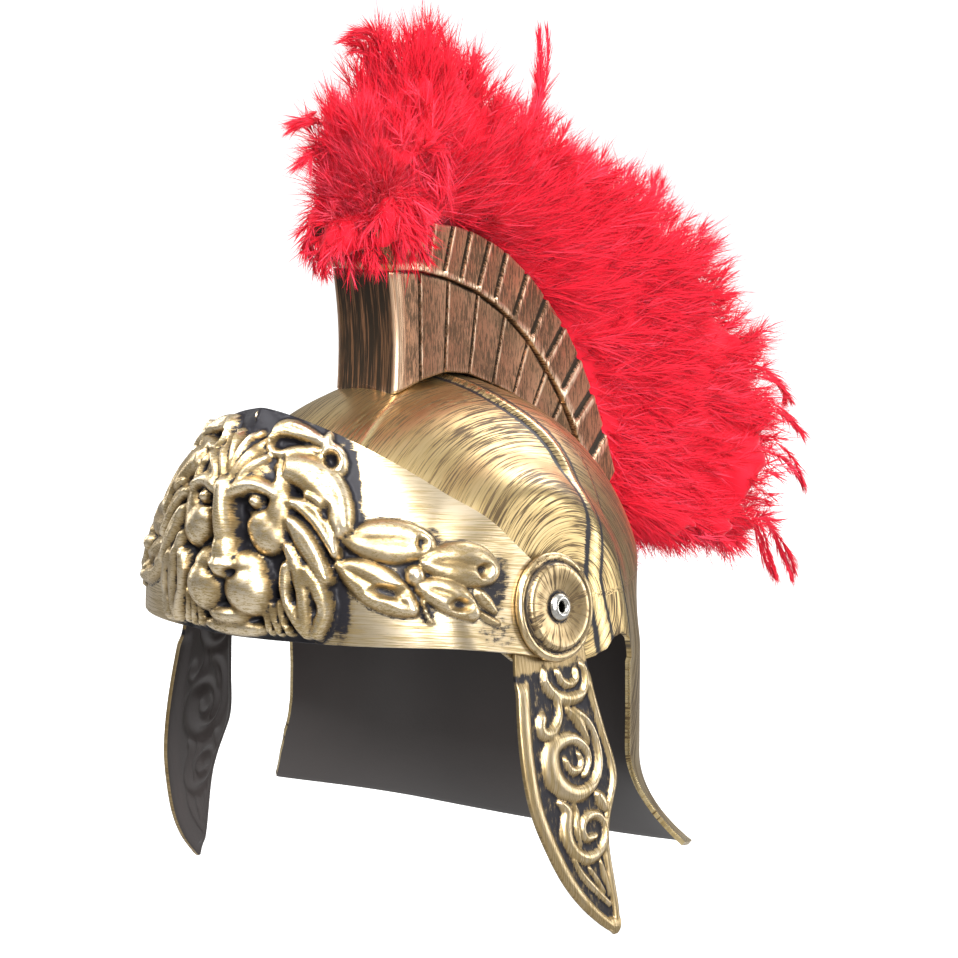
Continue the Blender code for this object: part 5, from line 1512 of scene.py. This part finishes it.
FRONT_TUFTS = (
    # x, y, z of the root, then of the tip: down that hangs over the front end of the rail
    (8, -3, 166, 8, -13, 151), (14, 2, 168, 17, -9, 149),
    (16, 6, 169, 21, -3, 151), (15, 1, 173, 19, -9, 156),
    (5, -5, 166, 5, -13, 153), (16, 10, 172, 22, 3, 156),
    (16, 4, 184, 20, -2, 160), (11, -2, 166, 13, -9, 149),
    (18, 2, 208, 24, -4, 180), (20, 12, 210, 27, 8, 178),
    (13, -8, 200, 18, -14, 174), (21, 20, 204, 27, 18, 174),
)
TUFT_MIRROR = (-0.4, 1.0, 1.0)
TUFT_STRAY = 1.6
TUFT_BEND = (0.0, -4.0, 6.0)
TUFT_BEND_STRAY = 1.5
TUFT_BEND_OUT = 1.15
WISPS = {
    # x, then y and z of the foot, bend and tip, then the length of the barbs
    "tall": (6, 110, 194, 122, 220, 123, 239, 0.6),
    "tall side": (8, 104, 190, 113, 208, 116, 220, 0.80),
    "hook": (-1, 12, 234, 2, 243, -11, 240, 0.6),
    "hook low": (-3, 8, 230, 0, 237, -8, 237, 0.5),
    "left": (-12, -20, 205, -29, 206, -38, 203, 0.55),
    "left low": (-12, -20, 195, -28, 194, -34, 189, 0.55),
    "shoulder": (12, 196, 146, 208, 156, 212, 163, 0.7),
    "rear high": (20, 300, 66, 318, 62, 330, 51, 0.6),
    "rear middle": (20, 306, 46, 324, 44, 336, 31, 0.6),
    "rear": (20, 312, 26, 330, 20, 341, 6, 0.6),
    "tail": (16, 308, -11, 326, -23, 339, -40, 0.8),
    "tail inner": (14, 302, -9, 312, -24, 320, -37, 0.7),
}
WISP_SPREAD = 0.42
WISP_QUILLS = 3
WISP_STRAY = (3.0, 2.0, 2.0)


def plume_rows(where):
    """Root, tip and sideways reach at places along the fan, 0 in front to 22 at the back."""
    values = np.stack([np.interp(where, np.arange(len(PLUME_ROWS)), column)
                       for column in zip(*PLUME_ROWS)], axis=-1)
    return values[..., 0:2], values[..., 2:4], values[..., 4]


def fan_point(where, across, share):
    """Point of the fan: along its rows, across it from -1 to 1, and out from root to tip."""
    root, tip, reach = plume_rows(where)
    length = share * (1.0 - PLUME_SIDE_SHORTENING * across ** 2)
    middle = root + (tip - root) * length[..., None]
    half = PLUME_ROOT_HALF + (reach - PLUME_ROOT_HALF) * share ** PLUME_OPENING
    taper = 1.0 - PLUME_TAPER * smoothstep(*PLUME_TAPER_SHARES, share)
    lean = table_value(PLUME_LEAN, where) * smoothstep(*CORE_OUT, share)
    return np.concatenate([(across * half * taper + lean)[..., None], middle], axis=-1)


def curve_points(start, bend, end, shares):
    """Points along quadratic curves, and their directions, for arrays of curves and shares."""
    t = shares[..., None]
    points = (1.0 - t) ** 2 * start + 2.0 * t * (1.0 - t) * bend + t ** 2 * end
    forward = unit(2.0 * (1.0 - t) * (bend - start) + 2.0 * t * (end - bend))
    return points, forward


def make_barbs(name, finish, rng, start, bend, end, thick, shade, spread=1.0, barbs=BARBS):
    """One piece of many feathers' barbs: tapering curved ribbons round each curved quill."""
    count = (len(start), barbs)
    shares = 1.0 - rng.uniform(0.0, 1.0, count) ** BARB_CROWDING
    base, forward = curve_points(start[:, None], bend[:, None], end[:, None], shares)
    spin = rng.uniform(0.0, 2.0 * math.pi, count)[..., None]
    across = unit(np.cross(forward, (0.31, 0.17, 0.93)))
    round_quill = np.cos(spin) * across + np.sin(spin) * np.cross(forward, across)
    opening = rng.uniform(*BARB_OPENING, count) * (1.0 - 0.55 * shares ** 2)
    opening = (np.radians(opening) * spread)[..., None]
    outward = forward * np.cos(opening) + round_quill * np.sin(opening)
    length = rng.uniform(*BARB_LENGTH, count) * thick[:, None]
    length *= 0.55 + 0.75 * np.sqrt(np.clip(4.0 * shares * (1.0 - shares), 0.0, 1.0)) \
        * (1.0 - 0.35 * shares)
    length = length[..., None]
    curl = BARB_CURL * forward + rng.normal(0.0, BARB_STRAY * spread, (*count, 3))
    curl[..., 2] -= BARB_DROOP
    tilt = rng.normal(0.0, BARB_TILT, (*count, 1))
    side = unit(np.cross(outward, round_quill) + tilt * round_quill)
    width = (BARB_WIDTH * rng.uniform(*BARB_WIDTHS, count))[..., None]
    shares_along = np.arange(BARB_STEPS) / BARB_STEPS
    rings = []
    for t in shares_along:
        middle = base + length * (outward * t + curl * t ** 2)
        half = 0.5 * width * (1.0 - BARB_TAPER * t)
        rings += [middle - side * half, middle + side * half]
    rings.append(base + length * (outward + curl))
    points = np.stack(rings, axis=2).reshape(-1, 3)
    own = np.clip(shade[:, None] + rng.normal(0.0, SHADE_STRAY, count), 0.0, 1.0)
    ring = len(rings)
    first = np.arange(len(points) // ring)[:, None] * ring
    quads = [first + (2 * k, 2 * k + 1, 2 * k + 3, 2 * k + 2) for k in range(BARB_STEPS - 1)]
    ends = first + (ring - 3, ring - 2, ring - 1)
    along = np.append(np.repeat(shares_along, 2), 1.0)
    item = new_mesh(name, points, np.vstack(quads).tolist() + ends.tolist(), [finish],
                    {"tip": np.tile(along, len(first)), "shade": np.repeat(own.ravel(), ring)},
                    smooth_angle=180.0)
    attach(item, "root")


def fan_place(points):
    """Row and share of the fan where points lie when seen from the side, and that row's step."""
    rows = np.linspace(0.0, len(PLUME_ROWS) - 1.0, PLUME_STEPS)
    root, tip, reach = plume_rows(rows)
    step = tip - root
    away = points[:, None, 1:] - root
    along = (away * step).sum(axis=-1) / (step ** 2).sum(axis=-1)
    miss = np.linalg.norm(away - np.maximum(along, 0.0)[..., None] * step, axis=-1)
    best = np.argmin(miss, axis=1)
    return rows[best], along[np.arange(len(points)), best], step[best]


def make_core(finish):
    """Dense middle of the plume: its CAD solid, rounded and drawn in."""
    core = linked("plume_core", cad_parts["plume"].data.copy())
    core.data.materials.clear()
    core.data.materials.append(finish)
    reshape(core, ("REMESH", {"mode": "VOXEL", "voxel_size": CORE_VOXEL * MM}),
            ("SMOOTH", CORE_SMOOTHING))
    points = from_row_frame(core.data.vertices, "co")
    row, share, step = fan_place(points)
    over = np.maximum(share - CORE_SHARE * table_value(PLUME_EDGE, row), 0.0)
    points[:, 1:] -= over[:, None] * step
    out = smoothstep(*CORE_OUT, share)
    points[:, 0] *= 1.0 - out * (1.0 - table_value(CORE_NARROWING, row))
    points[:, 0] += out * table_value(PLUME_LEAN, row)
    core.data.vertices.foreach_set("co", place(points).ravel())
    reshape(core, ("DISPLACE", {"strength": -CORE_DEPTH * MM, "mid_level": 0.0}),
            ("REMESH", {"mode": "VOXEL", "voxel_size": CORE_SECOND_VOXEL * MM}))
    points = from_row_frame(core.data.vertices, "co")
    row, share, step = fan_place(points)
    sink = CORE_SINK * (1.0 - smoothstep(*CORE_SINK_SHARE, share)) \
        * smoothstep(*CORE_SINK_ROWS, row)
    points[:, 1:] -= sink[:, None] * unit(step)
    core.data.vertices.foreach_set("co", place(points).ravel())
    add_attributes(core.data, {label: np.full(len(points), value)
                               for label, value in CORE_COLOUR.items()})
    core.data.shade_smooth()
    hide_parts("plume")
    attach(core, "root")
    return core


def make_fuzz(core, finish):
    """Short down all over the dense middle, lying outward like the long feathers."""
    rng = np.random.default_rng(FUZZ_SEED)
    centres = from_row_frame(core.data.polygons, "center")
    low_front = np.flatnonzero((centres[:, 1] < FRONT_FOOT_Y) & (centres[:, 2] < FRONT_FUZZ_TOP))
    chosen = np.concatenate([rng.integers(0, len(centres), FUZZ_TUFTS),
                             rng.choice(low_front, FRONT_FUZZ_TUFTS)])
    foot = centres[chosen]
    normal = np.array([core.data.polygons[i].normal for i in chosen])
    flow = unit((foot - FAN_CENTRE) * (0.0, 1.0, 1.0))
    stray = rng.normal(0.0, 1.0, (2, *foot.shape))
    near_rail = (foot[:, 1] < FRONT_FOOT_Y) & (foot[:, 2] < FRONT_FOOT_Z)
    flow[near_rail] = HANGING
    size = np.where(near_rail, table_value(FRONT_FOOT_SIZE, foot[:, 2]), 1.0)
    start = foot - normal
    bend, end = (foot + size[:, None] * (up * normal + along * flow + off * one_stray)
                 for (up, along, off), one_stray in zip((FUZZ_BEND, FUZZ_END), stray))
    thick = size * rng.uniform(*FUZZ_FULLNESS, len(foot))
    shade = rng.uniform(*FUZZ_SHADE, len(foot))
    make_barbs("plume_fuzz", finish, rng, start, bend, end, thick, shade, barbs=FUZZ_BARBS)


def make_feathers(rng, finish):
    """Long feathers round the fan, one piece a group."""
    for name, count, low, high, least, first, last in PLUME_GROUPS:
        where = rng.uniform(first, last, count)
        share = rng.uniform(low, high, count) * table_value(PLUME_EDGE, where)
        across = rng.uniform(least, 1.0, count) * np.where(rng.random(count) < 0.5, -1.0, 1.0)
        end = fan_point(where, across, share)
        span = rng.uniform(*FEATHER_LENGTH, count)
        root, tip, reach = plume_rows(where)
        begin = np.maximum(share - span / np.linalg.norm(tip - root, axis=1), QUILL_FOOT_LEAST)
        start = fan_point(where + rng.normal(0.0, ROW_STRAY, count), across * QUILL_FOOT_ACROSS,
                          begin)
        end = end + rng.normal(0.0, TIP_STRAY, (count, 3))
        end[:, 0] += np.sign(across) * rng.uniform(*TIP_OUT, count)
        bend = 0.5 * (start + end) + rng.normal(0.0, BEND_STRAY, (count, 3))
        bend[:, 0] += np.sign(across) * BEND_OUT
        thick = rng.uniform(*FEATHER_FULLNESS, count)
        thick *= np.where(where < FOOT_ROWS, FOOT_DOWN, 1.0)
        # The front group is paler: partly pinker down, partly painted light
        shade = rng.uniform(*FEATHER_SHADE, count) + (FRONT_SHADE if name == "front" else 0.0)
        make_barbs("plume_" + name.replace(" ", "_"), finish, rng, start, bend, end, thick, shade)


def make_front_tufts(rng, finish):
    """Down over the front end of the rail: each row four times, twice narrowed and mirrored."""
    tufts = np.array(FRONT_TUFTS * 4, dtype=float)
    tufts[:len(tufts) // 2] *= TUFT_MIRROR + TUFT_MIRROR
    tufts = tufts + rng.normal(0.0, TUFT_STRAY, tufts.shape)
    start, end = tufts[:, :3], tufts[:, 3:]
    bend = 0.5 * (start + end) + TUFT_BEND + rng.normal(0.0, TUFT_BEND_STRAY, start.shape)
    bend[:, 0] *= TUFT_BEND_OUT
    thick = rng.uniform(*FUZZ_FULLNESS, len(tufts))
    shade = rng.uniform(*TUFT_SHADE, len(tufts))
    make_barbs("plume_front_tufts", finish, rng, start, bend, end, thick, shade)


def make_wisps(rng, finish):
    """Single wisps that stand out of the plume's outline."""
    rows = np.array([*WISPS.values()] * WISP_QUILLS)
    stray = rng.normal(0.0, 1.0, (3, len(rows), 3))
    start, bend, end = (rows[:, (0, k, k + 1)] + size * one_stray
                        for k, size, one_stray in zip((1, 3, 5), WISP_STRAY, stray))
    shade = np.full(len(rows), WISP_SHADE)
    make_barbs("plume_wisps", finish, rng, start, bend, end, rows[:, 7], shade, WISP_SPREAD)


def make_plume(finish):
    make_fuzz(make_core(finish), finish)
    rng = np.random.default_rng(PLUME_SEED)
    make_feathers(rng, finish)
    make_front_tufts(rng, finish)
    make_wisps(rng, finish)


def main():
    make_camera()
    make_studio()
    shell = gold_material("antique_gold", streaks=0.95, streak_scale=(1.15, 0.028, 1.0),
                          slopes=0.45, roughness=0.31, blotches=0.6, crisp=(0.485, 0.56))
    relief = gold_material("antique_gold_relief", tint=(1.0, 1.02, 1.12), streaks=0.45,
                           slopes=0.85, roughness=0.36, blotches=1.5, crisp=(0.45, 0.57),
                           highlight=CREAM_GOLD, highlight_only=0.7)
    # The crest's reddish tint is a painted reflection of the red plume
    crest = gold_material("antique_gold_crest", tint=(1.0, 0.66, 0.78), streaks=0.92,
                          streak_scale=(0.9, 0.10, 0.6), slopes=0.6, roughness=0.36,
                          blotches=1.6, crisp=(0.45, 0.53), highlight=CREST_HIGHLIGHT,
                          highlight_only=0.9, dirt_and_shade=BROWN_DIRT_AND_SHADE)
    spun = gold_material("antique_gold_rosette", tint=(0.86, 0.86, 0.98), streaks=0.9,
                         streak_scale=(0.55, 0.06, 0.55), slopes=0.7, roughness=0.34,
                         blotches=0.9, highlight_only=0.4)
    nickel = nickel_material()
    inside = inside_material()
    down = feather_material("red_down", (0.58, 0.005, 0.020), (0.72, 0.009, 0.030),
                            (0.90, 0.095, 0.17))
    make_dome(shell, inside)
    make_brow_band(relief, inside)
    make_crest_holder(crest)
    make_crest_rail(crest)
    make_plume(down)
    for word, side in (("left", 1.0), ("right", -1.0)):
        make_cheek_guard(word, side, relief, inside)
        make_rosette(word, side, spun)
        make_rivet(word, side, nickel)


main()
